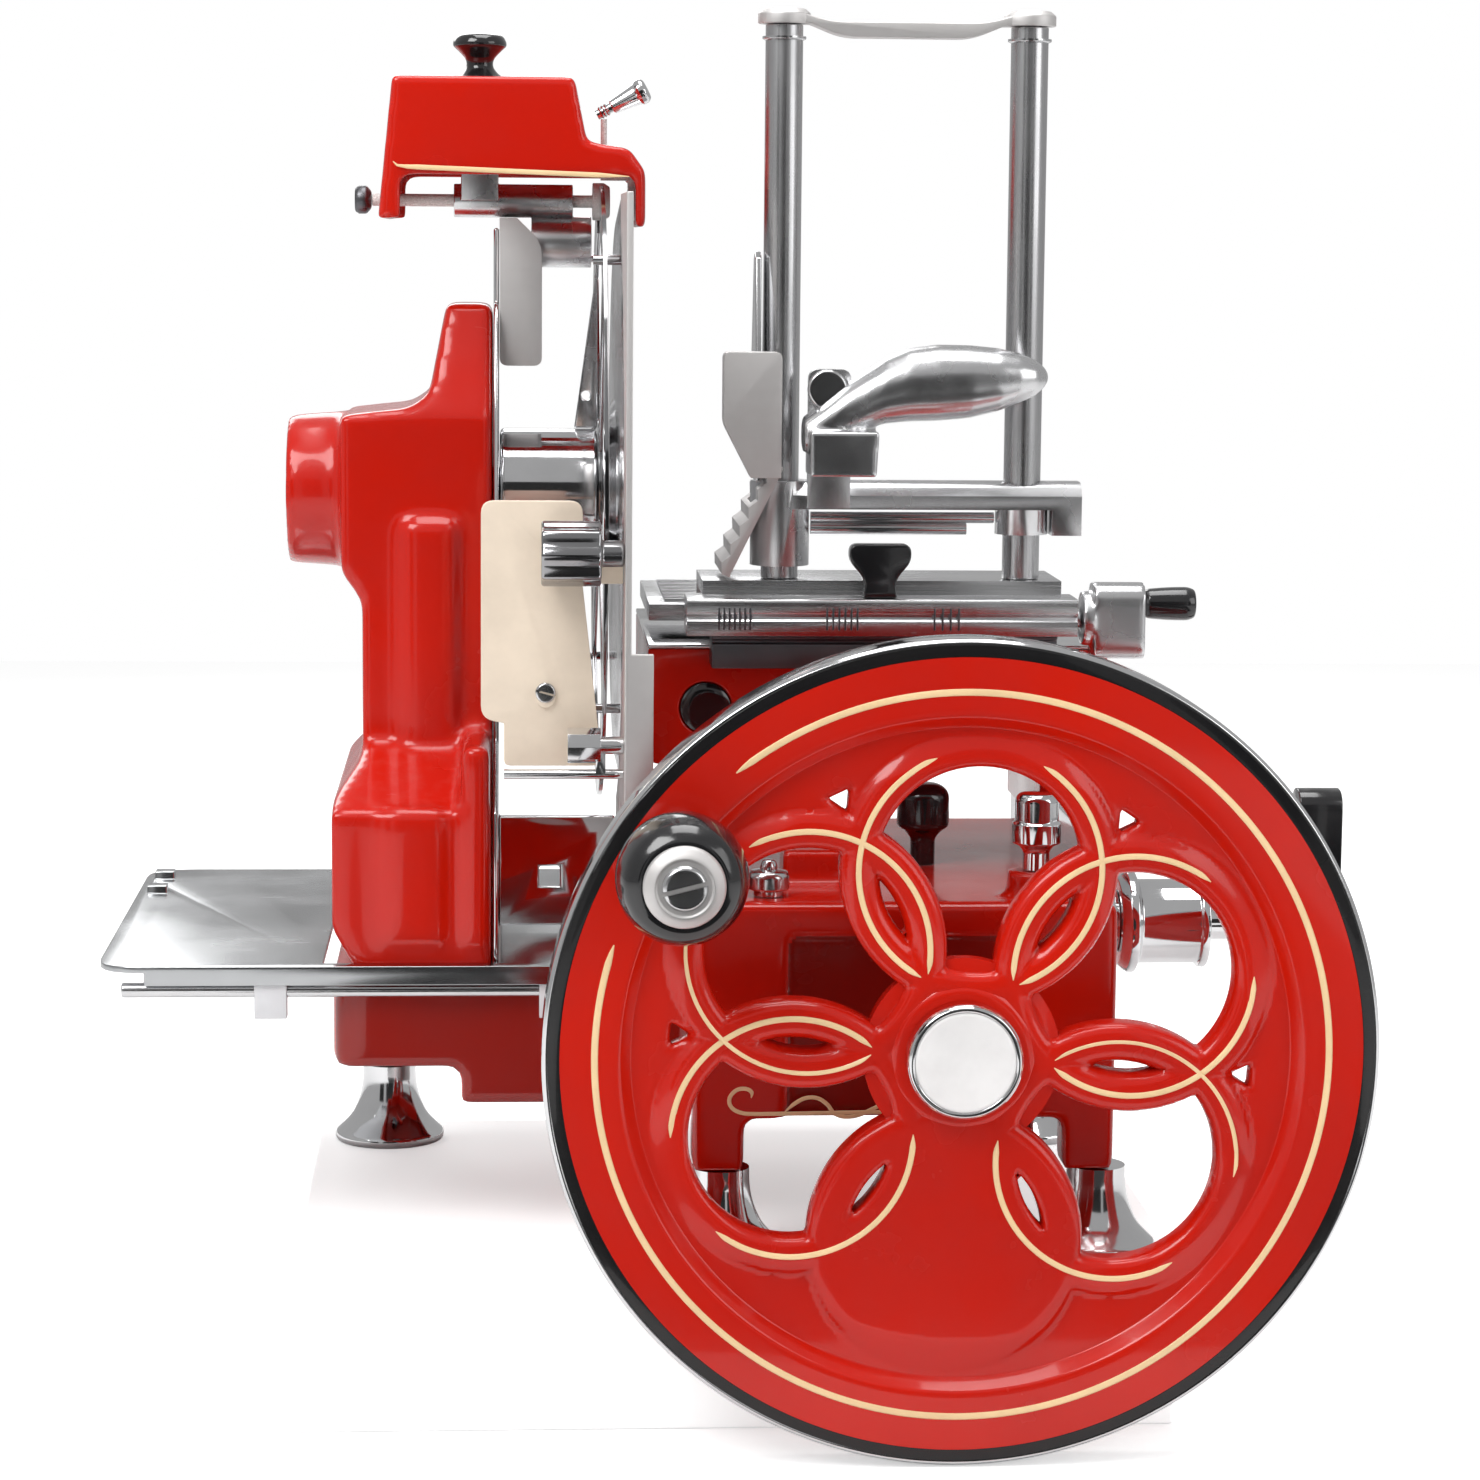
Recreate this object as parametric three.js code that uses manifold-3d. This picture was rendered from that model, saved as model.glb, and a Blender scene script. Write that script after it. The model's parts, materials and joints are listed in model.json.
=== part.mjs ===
// Hand crank meat slicer, in millimetres, +Z up.
// X runs along the blade shaft, Y along the flywheel shaft, away from the flywheel.
// The origin is the centre of the front left foot's underside.

import * as THREE from 'three';
import { mergeVertices } from 'three/addons/utils/BufferGeometryUtils.js';
import Module from 'manifold-3d';

const wasm = await Module();
wasm.setup();

// Shared clearances
const SEAT_GAP = 0.3;
const RUN_GAP = 0.6;
const CUT_OVER = 3;
const MERGE = 0.0002;

// Facets of round pieces
const COARSE = 16;
const FINE = 32;
const VERY_FINE = 60;

// Feet
const FOOT_HEIGHT = 40;
const FOOT_RADIUS = 28;
const FOOT_EDGE = 5;
const FOOT_NECK_RADIUS = 13.5;
const RIGHT_FOOT_INSET = 6.6;
const REAR_FOOT_INSET = 24.5;
const FOOT_LEFT_REACH = 159.5;

// Base casting
const BASE_WALL = 8;
const BASE_LEFT = -13.5;
const BASE_RIGHT = 182;
const BASE_FRONT = -12;
const BASE_REAR = 252;
const FOOT_SPAN = BASE_RIGHT - RIGHT_FOOT_INSET;
const FOOT_DEPTH = BASE_REAR - REAR_FOOT_INSET;
const BASE_BOTTOM = 64;
const BASE_TOP = 165;
const BASE_CHAMFER = 6;
const WING_LEFT = -180;
const WING_STEP = -120;
const WING_FRONT = 32;
const WING_HIGH_BOTTOM = 79.4;
const WING_LOW_BOTTOM = 61.8;
const WING_TOP = 122;
const WING_CORNER = 14;
const LEG_RADIUS = 14.5;
const PILLAR_WIDTH = 42;

// Flywheel
const WHEEL_X = 103.6;
const WHEEL_FRONT = -75;
const WHEEL_Z = 106.3;
const WHEEL_RADIUS = 187;
const WHEEL_DEPTH = 24;
const RIM_WIDTH = 40;
const RIM_LIP = 6;
const RIM_INNER = WHEEL_RADIUS - RIM_WIDTH;
const RIM_FLAT_INNER = RIM_INNER + RIM_LIP;
const WEB_INSET = 7;
const WEB_THICK = 10;
const PETAL_TURN = -4.4;
const PETAL_COUNT = 6;
const WINDOW_CENTRE_SHARE = 0.4492;
const STRAND_SHARE = 0.6429;
const WINDOW_CENTRE = WHEEL_RADIUS * WINDOW_CENTRE_SHARE;
const STRAND_RADIUS = WINDOW_CENTRE * STRAND_SHARE;
const STRAND_HALF = 8;
const SLOT_INSET = 1.5;
const RIM_HOLE_INSET = 20.5;
const RIM_HOLE_CENTRE = RIM_INNER - RIM_HOLE_INSET;
const RIM_HOLE_SIDE = 11;
const HUB_RADIUS = 32;
const HUB_BACK = 12;
const HUB_CAP_RADIUS = 26;
const HUB_CAP_PROUD = 11;
const HUB_CAP_EDGE = 2;

// Flywheel shaft and its bevel gear
const SHAFT_RADIUS = 11;
const GEAR_RADIUS = 36;
const PINION_RADIUS = 15;
const GEAR_FACE_SHARE = 0.3;
const GEAR_TEETH = 36;
const PINION_TEETH = 15;
const TOOTH_DEPTH = 1.6;
const GEAR_BACKLASH = 1.2;

// Crank handle
const CRANK_INSET = 32.8;
const CRANK_RADIUS = WHEEL_RADIUS - CRANK_INSET;
const CRANK_ANGLE = 145.5;
const CRANK_PIN_RADIUS = 6;
const GRIP_RADIUS = 28.6;
const GRIP_LENGTH = 50;
const GRIP_STAND_OFF = 8;
const GRIP_NECK_RADIUS = 15;
const GRIP_FACE_RADIUS = 17;
const WASHER_RADIUS = 17.8;
const WASHER_THICK = 3;
const SCREW_HEAD_RADIUS = 9.8;
const SCREW_SLOT = 2;

// Blade, its shaft and its sleeve
const BLADE_Y = 150;
const BLADE_Z = 343;
const BLADE_RADIUS = 142;
const BLADE_FACE = -43;
const BLADE_THICK = 3;
const BLADE_BEVEL = 12;
const BLADE_HUB_RADIUS = 40;
const BLADE_SHAFT_RADIUS = 11;
const SLEEVE_RADIUS = 30;
const GUARD_RADIUS = 150;
const GUARD_INNER = 128;
const GUARD_BACK = -54.5;
const GUARD_THICK = 2;
const GUARD_PIN_RADIUS = 2.2;

// Column
const COLUMN_LEFT = -180;
const COLUMN_RIGHT = -105.6;
const COLUMN_TOP = 434;
const COLUMN_WALL = 7;
const COLUMN_FRONT = 32;
const COLUMN_WAIST_DEPTH = 50;
const COLUMN_TOP_DEPTH = 22;
const BOSS_LEFT = -205;
const BOSS_RADIUS = 36;
const BOSS_ROOT_RADIUS = 41;
const CAP_THICK = 5;

// Chain drive
const CHAIN_X = -134;
const CHAIN_WIDTH = 8;
const CHAIN_THICK = 7;
const SPROCKET_RADIUS = 16;
const SPROCKET_WIDTH = 5;
const SPROCKET_TEETH = 14;

// Chromed plate on the column and its low bracket
const SIDE_PLATE_THICK = 2.6;
const SIDE_PLATE_TOP = 470;
const BRACKET_RIGHT = -46;
const BRACKET_Y = 112;
const BRACKET_BOTTOM = 133;
const BRACKET_TOP = 187;
const BRACKET_HOLE = 10;
const BRACKET_HOLE_X = -78;
const BRACKET_HOLE_Z = 157;

// Slice deflector
const DEFLECTOR_Y = -4;
const DEFLECTOR_THICK = 3;
const DEFLECTOR_LEFT = -110.4;
const DEFLECTOR_STEP_X = -100;
const DEFLECTOR_STEP_Z = 249;
const DEFLECTOR_TOP_RIGHT = -64.5;
const DEFLECTOR_LOW_RIGHT = -57;
const DEFLECTOR_BOTTOM = 227.5;
const DEFLECTOR_WAIST = 310;
const DEFLECTOR_TOP = 348;
const DEFLECTOR_CORNER = 6;
const KNOB_Z = 325.5;
const KNOB_LEFT = -83.4;
const KNOB_RIGHT = -56.5;
const KNOB_RADIUS = 15;
const KNOB_LOBES = 8;
const KNOB_LOBE_DEPTH = 2.2;
const KNOB_AXLE_RADIUS = 6;
const ROD_Z = 226;
const ROD_RADIUS = 2.2;
const NUT_Z = 239;
const NUT_RADIUS = 8;
const NUT_SIDES = 8;
const KNOB_Y = -20;

// Receiving tray
const TRAY_LEFT = -288;
const TRAY_RIGHT = -60;
const TRAY_FRONT = 22;
const TRAY_REAR = 297;
const TRAY_TOP = 130;
const TRAY_THICK = 3;
const TRAY_CORNER = 22;
const TRAY_LIP = 9;
const TRAY_SLOT_LEFT = -184;
const TRAY_RAIL_RADIUS = 3.5;
const TRAY_RAIL_DROP = 12;
const CLIP_WIDTH = 15;
const CLIP_LEFT_X = -208;
const CLIP_RIGHT_X = -76;
const CLIP_DROP = 22;

// Sharpener over the blade
const COVER_TOP = 541;
const COVER_FRONT = 105;
const COVER_REAR = 205;
const COVER_WALL = 3;
const COVER_LEFT = -160;
const COVER_RIGHT = -33;
const COVER_LEFT_SKIRT = 473.7;
const COVER_RIGHT_SKIRT = 469.6;
const COVER_EDGE = 494;
const SPOOL_X = -112;
const SPOOL_HEIGHT = 23;
const SPOOL_RADIUS = 13;
const SPOOL_WAIST = 5.3;
const BODY_LEFT = -124.5;
const BODY_RIGHT = -58;
const BODY_Z = 483;
const BODY_RADIUS = 8;
const SECOND_Z = 463.5;
const SECOND_RADIUS = 12.3;
const SECOND_LEFT = -87;
const SHARPENER_BRACKET_BOTTOM = 404;
const SHARPENER_BRACKET_RIGHT = -82;
const STONE_RADIUS = 9;
const STONE_THICK = 9;
const LEVER_LENGTH = 30;
const LEVER_RADIUS = 5.2;

// Gauge plate and thickness dial
const GAUGE_FRONT = -28;
const GAUGE_BOTTOM = 205;
const GAUGE_TOP = 486;
const GAUGE_FLANGE_RIGHT = -33;
const GAUGE_FLANGE_TOP = 281;
const GAUGE_THICK = 3;
const DIAL_Y = 95;
const DIAL_Z = 137.5;
const DIAL_RADIUS = 25;
const BARREL_LEFT = 198;
const BARREL_RIGHT = 241;
const BARREL_RADIUS = 20.5;
const DIAL_SHAFT_RADIUS = 9;
const WING_KNOB_X = 285;
const WING_KNOB_WIDTH = 21;
const WING_KNOB_Z = 185.5;
const WING_KNOB_REACH = 17.5;

// Oilers
const OILER_X = 146;
const OILER_Y = 10;
const OILER_RADIUS = 11.5;
const OILER_HEIGHT = 36;
const DOME_X = 22;
const DOME_RADIUS = 10;
const DOME_HEIGHT = 17;
const REAR_OILER_X = 103;
const REAR_OILER_Y = 100;
const REAR_OILER_RADIUS = 13;

// Slide rails on the base
const RAIL_LEFT_X = -2;
const RAIL_RIGHT_X = 172;
const RAIL_HALF = 7;
const RAIL_TOP = 200;
const RAIL_END = 8;

// Carriage
const CARRIAGE_LEFT = -32;
const CARRIAGE_RIGHT = 187;
const CARRIAGE_FRONT = 70;
const CARRIAGE_REAR = 246;
const CARRIAGE_BOTTOM = 218;
const CARRIAGE_TOP = 273;
const CARRIAGE_WALL = 6;
const RUNNER_FRONT = 96;
const RUNNER_REAR = 216;
const RUNNER_BOTTOM = 184;
const RUNNER_WALL = 5;
const CARRIAGE_PLATE_THICK = 2;
const BUTTON_X = -4.6;
const BUTTON_Z = 244.9;
const BUTTON_RADIUS = 12.6;
const BUTTON_PROUD = 1.5;

// Feed table
const GUIDE_LEFT = -3;
const GUIDE_RIGHT = 160;
const GUIDE_FRONT = 50;
const GUIDE_BOTTOM = 266;
const TABLE_LEFT = -15;
const TABLE_RIGHT = 168.5;
const TABLE_FRONT = 44;
const TABLE_BOTTOM = 282;
const STRIP_TOP = 299.5;
const STRIP_REAR = 72;
const BAND_FRONT = 62;
const BAND_LEFT = -7;
const BAND_RIGHT = 163;
const BAND_TOP = 306.5;
const BAND_REAR = 120;
const DECK_TOP = 290;
const DECK_REAR = 245;
const DECK_LEFT = -30;
const RIDGE_STEP = 8;
const RIDGE_HEIGHT = 1.6;
const DOVETAIL_DEPTH = 5;

// Feed crank
const CRANK_AXIS_Z = 290;
const CRANK_AXIS_Y = 52;
const FEED_COLLAR_LEFT = 171;
const FEED_ARM_LEFT = 176;
const FEED_ARM_RIGHT = 200;
const FEED_ARM_RADIUS = 17;
const FEED_SCREW_RADIUS = 4;
const FEED_GRIP_END = 225;
const FEED_GRIP_RADIUS = 8;
const FEED_GRIP_OFFSET = 14;

// Posts and the bar across their tops
const POST_Y = 75;
const POST_LEFT_X = 30;
const POST_RIGHT_X = 145;
const POST_RADIUS = 8.75;
const POST_TOP = 566;
const BAR_CAP_RADIUS = 12.3;
const BAR_TOP = 572;
const BAR_THICK = 7;
const BAR_WIDTH = 16;
const BAR_DROP = 6;

// Lock knob on the table
const LOCK_X = 75.5;
const LOCK_Y = 51;
const LOCK_HEIGHT = 25;
const LOCK_STEM_HALF = 8;
const LOCK_HEAD_HALF = 14.4;
const LOCK_DEPTH = 10;

// Meat press on the posts
const PRESS_Y = 75;
const ARM_LEFT = 48;
const ARM_RIGHT = 172;
const ARM_BOTTOM = 340;
const ARM_TOP = 353;
const ARM_HALF_DEPTH = 13;
const ARM_END_BOTTOM = 328;
const ARM_HUB_RADIUS = 14;
const ARM_HUB_BOTTOM = 313;
const PRESS_ROD_RADIUS = 2.6;
const PRESS_ROD_Z = 335.5;
const SHIELD_THICK = 3;
const SHIELD_TOP = 460;
const JAW_TIP_X = 1;
const JAW_TIP_Z = 311;
const JAW_TOP_X = 26;
const JAW_TOP_Z = 362;
const JAW_THICK = 4;
const JAW_TOOTH = 5;
const JAW_TEETH = 6;
const JAW_HALF_DEPTH = 30;
const HOOD_FRONT = 38;
const HOOD_RIGHT = 28;
const HOOD_TOP = 414;
const HOOD_WAIST = 381;
const HOOD_CORNER = 3;
const PIVOT_X = 50;
const PIVOT_Z = 395.6;
const PIVOT_RADIUS = 10;
const HANDLE_HALF_DEPTH = 9;

// Colours and finishes
function finish(colour, roughness, metalness) {
  return new THREE.MeshStandardMaterial({ color: colour, roughness, metalness });
}

const RED = finish(0xc4190b, 0.22, 0);
const CHROME = finish(0xd8d9dc, 0.12, 1);
const STEEL = finish(0xb9bcc0, 0.32, 1);
const DARK_STEEL = finish(0x55585c, 0.4, 1);
const ALUMINIUM = finish(0xc6c8ca, 0.4, 1);
const BLACK = finish(0x111113, 0.25, 0);
const CREAM = finish(0xe6d9c8, 0.45, 0);
const WHITE = finish(0xe4e4e6, 0.4, 0);
const STONE = finish(0x8a8580, 0.9, 0);

// Turns of an outline drawn flat, so that it is pushed along the named axis
const FACINGS = {
  x: new THREE.Matrix4().makeBasis(axisVector('y'), axisVector('z'), axisVector('x')),
  y: new THREE.Matrix4().makeBasis(axisVector('x'), axisVector('z'), axisVector('y').negate()),
  z: new THREE.Matrix4(),
};

function axisVector(axis) {
  return new THREE.Vector3(Number(axis === 'x'), Number(axis === 'y'), Number(axis === 'z'));
}

// A solid from a closed geometry
function solid(geometry) {
  const bare = geometry.clone();
  bare.deleteAttribute('normal');
  bare.deleteAttribute('uv');
  const merged = mergeVertices(bare, MERGE);
  const mesh = new wasm.Mesh({
    numProp: 3,
    vertProperties: new Float32Array(merged.attributes.position.array),
    triVerts: new Uint32Array(merged.index.array),
  });
  return new wasm.Manifold(mesh);
}

function join(first, ...others) {
  return others.reduce((sum, other) => sum.add(other), first);
}

function cut(first, ...others) {
  return others.reduce((rest, other) => rest.subtract(other), first);
}

// A box between two opposite corners
function block(low, high) {
  const from = new THREE.Vector3(...low);
  const to = new THREE.Vector3(...high);
  const size = to.clone().sub(from);
  const middle = from.clone().add(to).multiplyScalar(0.5);
  const geometry = new THREE.BoxGeometry(size.x, size.y, size.z);
  geometry.translate(middle.x, middle.y, middle.z);
  return solid(geometry);
}

// A closed outline through points [a, b] or [a, b, radius], the last with its corner rounded off
function outline(points) {
  const shape = new THREE.Shape();
  points.forEach(([a, b, radius = 0], index) => {
    const corner = new THREE.Vector2(a, b);
    const [beforeA, beforeB] = points.at(index - 1);
    const [afterA, afterB] = points[(index + 1) % points.length];
    const enter = new THREE.Vector2(beforeA, beforeB).sub(corner).setLength(radius).add(corner);
    const leave = new THREE.Vector2(afterA, afterB).sub(corner).setLength(radius).add(corner);
    if (index === 0) shape.moveTo(enter.x, enter.y);
    else shape.lineTo(enter.x, enter.y);
    if (radius > 0) shape.quadraticCurveTo(corner.x, corner.y, leave.x, leave.y);
  });
  shape.closePath();
  return shape;
}

// An outline pushed along an axis from one place to another
function pushed(shape, axis, from, to, curveSegments = 5) {
  const depth = to - from;
  const geometry = new THREE.ExtrudeGeometry(shape, { depth, bevelEnabled: false, curveSegments });
  geometry.applyMatrix4(FACINGS[axis]);
  const start = axisVector(axis).multiplyScalar(axis === 'y' ? to : from);
  geometry.translate(start.x, start.y, start.z);
  return solid(geometry);
}

// A profile of [radius, distance] points, the distance rising, turned about an axis through a place
function turned(profile, axis, place, facets = COARSE) {
  const points = profile.map(([radius, distance]) => new THREE.Vector2(radius, distance));
  const geometry = new THREE.LatheGeometry(points, facets);
  if (axis === 'x') geometry.rotateZ(-Math.PI / 2);
  if (axis === 'z') geometry.rotateX(Math.PI / 2);
  geometry.translate(...place);
  return solid(geometry);
}

// A round bar from a place along an axis
function rod(axis, place, radius, length, facets = COARSE) {
  return turned([[0, 0], [radius, 0], [radius, length], [0, length]], axis, place, facets);
}

// Points on a circle as an outline, with every second point drawn in by a depth
function toothed(radius, depth, teeth) {
  const points = [];
  for (let step = 0; step < teeth * 4; step += 1) {
    const angle = (step / (teeth * 4)) * Math.PI * 2;
    const reach = step % 4 < 2 ? radius : radius - depth;
    points.push([Math.cos(angle) * reach, Math.sin(angle) * reach]);
  }
  return outline(points);
}

// The outline moved inwards by a distance, its points running anticlockwise
function inset(points, distance) {
  const sides = points.map(([a, b], index) => {
    const [nextA, nextB] = points[(index + 1) % points.length];
    const along = new THREE.Vector2(nextA - a, nextB - b).normalize();
    const start = new THREE.Vector2(a - along.y * distance, b + along.x * distance);
    return { along, start };
  });
  return sides.map((side, index) => {
    const before = sides.at(index - 1);
    const between = side.start.clone().sub(before.start);
    const reach = between.cross(side.along) / before.along.cross(side.along);
    const corner = before.start.clone().addScaledVector(before.along, reach);
    return [corner.x, corner.y, points[index][2] ?? 0];
  });
}

// A named mesh for one piece
function piece(parent, name, body, material) {
  const made = body.getMesh();
  const geometry = new THREE.BufferGeometry();
  geometry.setAttribute('position', new THREE.BufferAttribute(new Float32Array(made.vertProperties), 3));
  geometry.setIndex(new THREE.BufferAttribute(new Uint32Array(made.triVerts), 1));
  geometry.computeVertexNormals();
  const mesh = new THREE.Mesh(geometry, material);
  mesh.name = name;
  parent.add(mesh);
}

const slicer = new THREE.Group();

// Feet
const REAR_FOOT_LEFT = -FOOT_LEFT_REACH;

function foot(x, y) {
  const profile = [
    [0, 0],
    [FOOT_RADIUS, 0],
    [FOOT_RADIUS, FOOT_EDGE],
    [FOOT_NECK_RADIUS * 1.45, FOOT_HEIGHT * 0.32],
    [FOOT_NECK_RADIUS * 1.1, FOOT_HEIGHT * 0.58],
    [FOOT_NECK_RADIUS, FOOT_HEIGHT],
    [0, FOOT_HEIGHT],
  ];
  return turned(profile, 'z', [x, y, 0]);
}

piece(slicer, 'foot_front_left', foot(0, 0), CHROME);
piece(slicer, 'foot_front_right', foot(FOOT_SPAN, 0), CHROME);
piece(slicer, 'foot_rear_left', foot(REAR_FOOT_LEFT, FOOT_DEPTH), CHROME);
piece(slicer, 'foot_rear_right', foot(FOOT_SPAN, FOOT_DEPTH), CHROME);

// Base casting: a hollow box under the carriage and a wing under the column
const LEG_BOTTOM = FOOT_HEIGHT + SEAT_GAP;
const WHEEL_BOSS_RADIUS = SHAFT_RADIUS * 2;
const WHEEL_BOSS_PROUD = 4;
const WHEEL_BOSS_DEPTH = 37;
const CROSS_SHAFT_RADIUS = 7;
const WEB_WALL = 9;
const WEB_HALF = 24;
const WEB_BOTTOM = 82;
const WING_CEILING = 5;
const FRONT_WEB_Y = 104;
const BOX_WEB_X = 38;
const WING_WEB_X = -112;
const PANEL_RECESS = 4;
const PANEL_LIP = 14;
const OILER_BOSS_HEIGHT = 12;
const OILER_BOSS_WALL = 2;
const OILER_BOSS_RADIUS = OILER_RADIUS + OILER_BOSS_WALL;
const BLOCK_LEFT = 31;
const BLOCK_RIGHT = 60;
const BLOCK_HEIGHT = 16;
const BLOCK_FRONT = 40;

function driveBox() {
  const shell = pushed(outline([
    [BASE_LEFT, BASE_BOTTOM],
    [BASE_RIGHT, BASE_BOTTOM],
    [BASE_RIGHT, BASE_TOP, BASE_CHAMFER],
    [BASE_LEFT, BASE_TOP, BASE_CHAMFER],
  ]), 'y', BASE_FRONT, BASE_REAR);
  const panel = block(
    [BASE_LEFT + PILLAR_WIDTH, BASE_FRONT - CUT_OVER, BASE_BOTTOM - CUT_OVER],
    [BASE_RIGHT - PILLAR_WIDTH, BASE_FRONT + PANEL_RECESS, BASE_TOP - PANEL_LIP],
  );
  return cut(shell, panel);
}

function driveBoxHollow() {
  return block(
    [BASE_LEFT + BASE_WALL, BASE_FRONT + BASE_WALL + PANEL_RECESS, BASE_BOTTOM - CUT_OVER],
    [BASE_RIGHT - BASE_WALL, BASE_REAR - BASE_WALL, BASE_TOP - BASE_WALL],
  );
}

function wing() {
  const front = pushed(outline([
    [WING_LEFT, WING_HIGH_BOTTOM, BASE_CHAMFER],
    [WING_STEP, WING_HIGH_BOTTOM],
    [WING_STEP, WING_LOW_BOTTOM],
    [BASE_LEFT + BASE_WALL, WING_LOW_BOTTOM],
    [BASE_LEFT + BASE_WALL, WING_TOP],
    [WING_LEFT, WING_TOP],
  ]), 'y', WING_FRONT, BASE_REAR);
  const plan = pushed(outline([
    [WING_LEFT, WING_FRONT, WING_CORNER],
    [BASE_LEFT + BASE_WALL, WING_FRONT],
    [BASE_LEFT + BASE_WALL, BASE_REAR],
    [WING_LEFT, BASE_REAR, WING_CORNER],
  ]), 'z', WING_LOW_BOTTOM, WING_TOP);
  return front.intersect(plan);
}

function wingHollow() {
  return block(
    [WING_LEFT + BASE_WALL, WING_FRONT + BASE_WALL, WING_LOW_BOTTOM - CUT_OVER],
    [BASE_LEFT - BASE_WALL, BASE_REAR - BASE_WALL, WING_TOP - WING_CEILING],
  );
}

function legs() {
  const square = FOOT_NECK_RADIUS * 2 - BASE_CHAMFER / 2;
  const top = BASE_BOTTOM + CUT_OVER;
  const frontEnd = BASE_FRONT + square;
  const rearEnd = BASE_REAR - square - BASE_WALL;
  const round = rod('z', [REAR_FOOT_LEFT, FOOT_DEPTH, LEG_BOTTOM],
    LEG_RADIUS, WING_TOP - CUT_OVER - LEG_BOTTOM);
  return [
    block([BASE_LEFT, BASE_FRONT, LEG_BOTTOM], [BASE_LEFT + square, frontEnd, top]),
    block([BASE_RIGHT - square, BASE_FRONT, LEG_BOTTOM], [BASE_RIGHT, frontEnd, top]),
    block([BASE_RIGHT - square, rearEnd, LEG_BOTTOM], [BASE_RIGHT, BASE_REAR, top]),
    round,
  ];
}

function baseFrame() {
  const middle = WHEEL_X;
  const webTop = BASE_TOP - BASE_WALL / 2;
  const frontWeb = block(
    [middle - WEB_HALF, FRONT_WEB_Y, WEB_BOTTOM],
    [middle + WEB_HALF, FRONT_WEB_Y + WEB_WALL, webTop],
  );
  const boxWeb = block(
    [BOX_WEB_X, BLADE_Y - WEB_HALF, WEB_BOTTOM],
    [BOX_WEB_X + WEB_WALL, BLADE_Y + WEB_HALF, webTop],
  );
  const wingWeb = block(
    [WING_WEB_X, BLADE_Y - WEB_HALF, WEB_BOTTOM],
    [WING_WEB_X + WEB_WALL, BLADE_Y + WEB_HALF, WING_TOP - WING_CEILING / 2],
  );
  const wheelBoss = rod(
    'y', [WHEEL_X, BASE_FRONT - WHEEL_BOSS_PROUD, WHEEL_Z], WHEEL_BOSS_RADIUS, WHEEL_BOSS_DEPTH, FINE,
  );
  const oilerBoss = rod('z', [OILER_X, OILER_Y, BASE_TOP - BASE_WALL / 2], OILER_BOSS_RADIUS,
    OILER_BOSS_HEIGHT + BASE_WALL / 2);
  const topBlock = block([BLOCK_LEFT, BLOCK_FRONT, BASE_TOP - BASE_WALL / 2],
    [BLOCK_RIGHT, BLOCK_FRONT + BLOCK_RIGHT - BLOCK_LEFT, BASE_TOP + BLOCK_HEIGHT]);
  const shell = cut(join(driveBox(), wing()), driveBoxHollow(), wingHollow());
  const body = join(shell, frontWeb, boxWeb, wingWeb, wheelBoss, oilerBoss, topBlock, ...legs());
  const shaftBore = rod('y', [WHEEL_X, BASE_FRONT - WHEEL_BOSS_PROUD - CUT_OVER, WHEEL_Z],
    SHAFT_RADIUS + RUN_GAP, FRONT_WEB_Y + WEB_WALL + CUT_OVER * 2 + WHEEL_BOSS_PROUD - BASE_FRONT);
  const crossBore = rod('x', [WING_WEB_X - CUT_OVER, BLADE_Y, WHEEL_Z],
    CROSS_SHAFT_RADIUS + RUN_GAP, BOX_WEB_X + WEB_WALL + CUT_OVER * 2 - WING_WEB_X);
  const gaugeBore = rod('x', [BASE_LEFT - CUT_OVER, DIAL_Y, DIAL_Z],
    GAUGE_ROD_RADIUS + RUN_GAP, BASE_RIGHT - BASE_LEFT + CUT_OVER * 2);
  const chainMouth = block(
    [CHAIN_X - CHAIN_ROOM, BLADE_Y - CHAIN_ROOM * 2, WING_TOP - WING_CEILING - CUT_OVER],
    [CHAIN_X + CHAIN_ROOM, BLADE_Y + CHAIN_ROOM * 2, WING_TOP + CUT_OVER],
  );
  return cut(body, shaftBore, crossBore, gaugeBore, chainMouth);
}

const GAUGE_ROD_RADIUS = 6;
const CHAIN_ROOM = 12;

piece(slicer, 'base_frame', baseFrame(), RED);

// Blade column, its left profile and side profile as shares of width, depth and height
const COLUMN_BOTTOM = WING_TOP + SEAT_GAP;
const COLUMN_LEFT_SHARES = [
  [0.825, 0], [1, 0.073], [1, 0.262], [0.839, 0.31], [0.839, 0.544],
  [0.973, 0.589], [0.973, 0.83], [0.543, 0.841], [0.409, 0.862], [0.301, 1],
];
const COLUMN_FOOT_SHARE = 0.25;
const COLUMN_SHOULDER_SHARE = 0.33;
const COLUMN_NECK_SHARE = 0.83;

function columnPlan() {
  const width = COLUMN_LEFT - COLUMN_RIGHT;
  const height = COLUMN_TOP - COLUMN_BOTTOM;
  const left = COLUMN_LEFT_SHARES.map(([across, up]) => (
    [COLUMN_RIGHT + across * width, COLUMN_BOTTOM + up * height]
  ));
  return outline([[COLUMN_RIGHT, COLUMN_TOP], ...left.reverse(), [COLUMN_RIGHT, COLUMN_BOTTOM]]);
}

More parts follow.
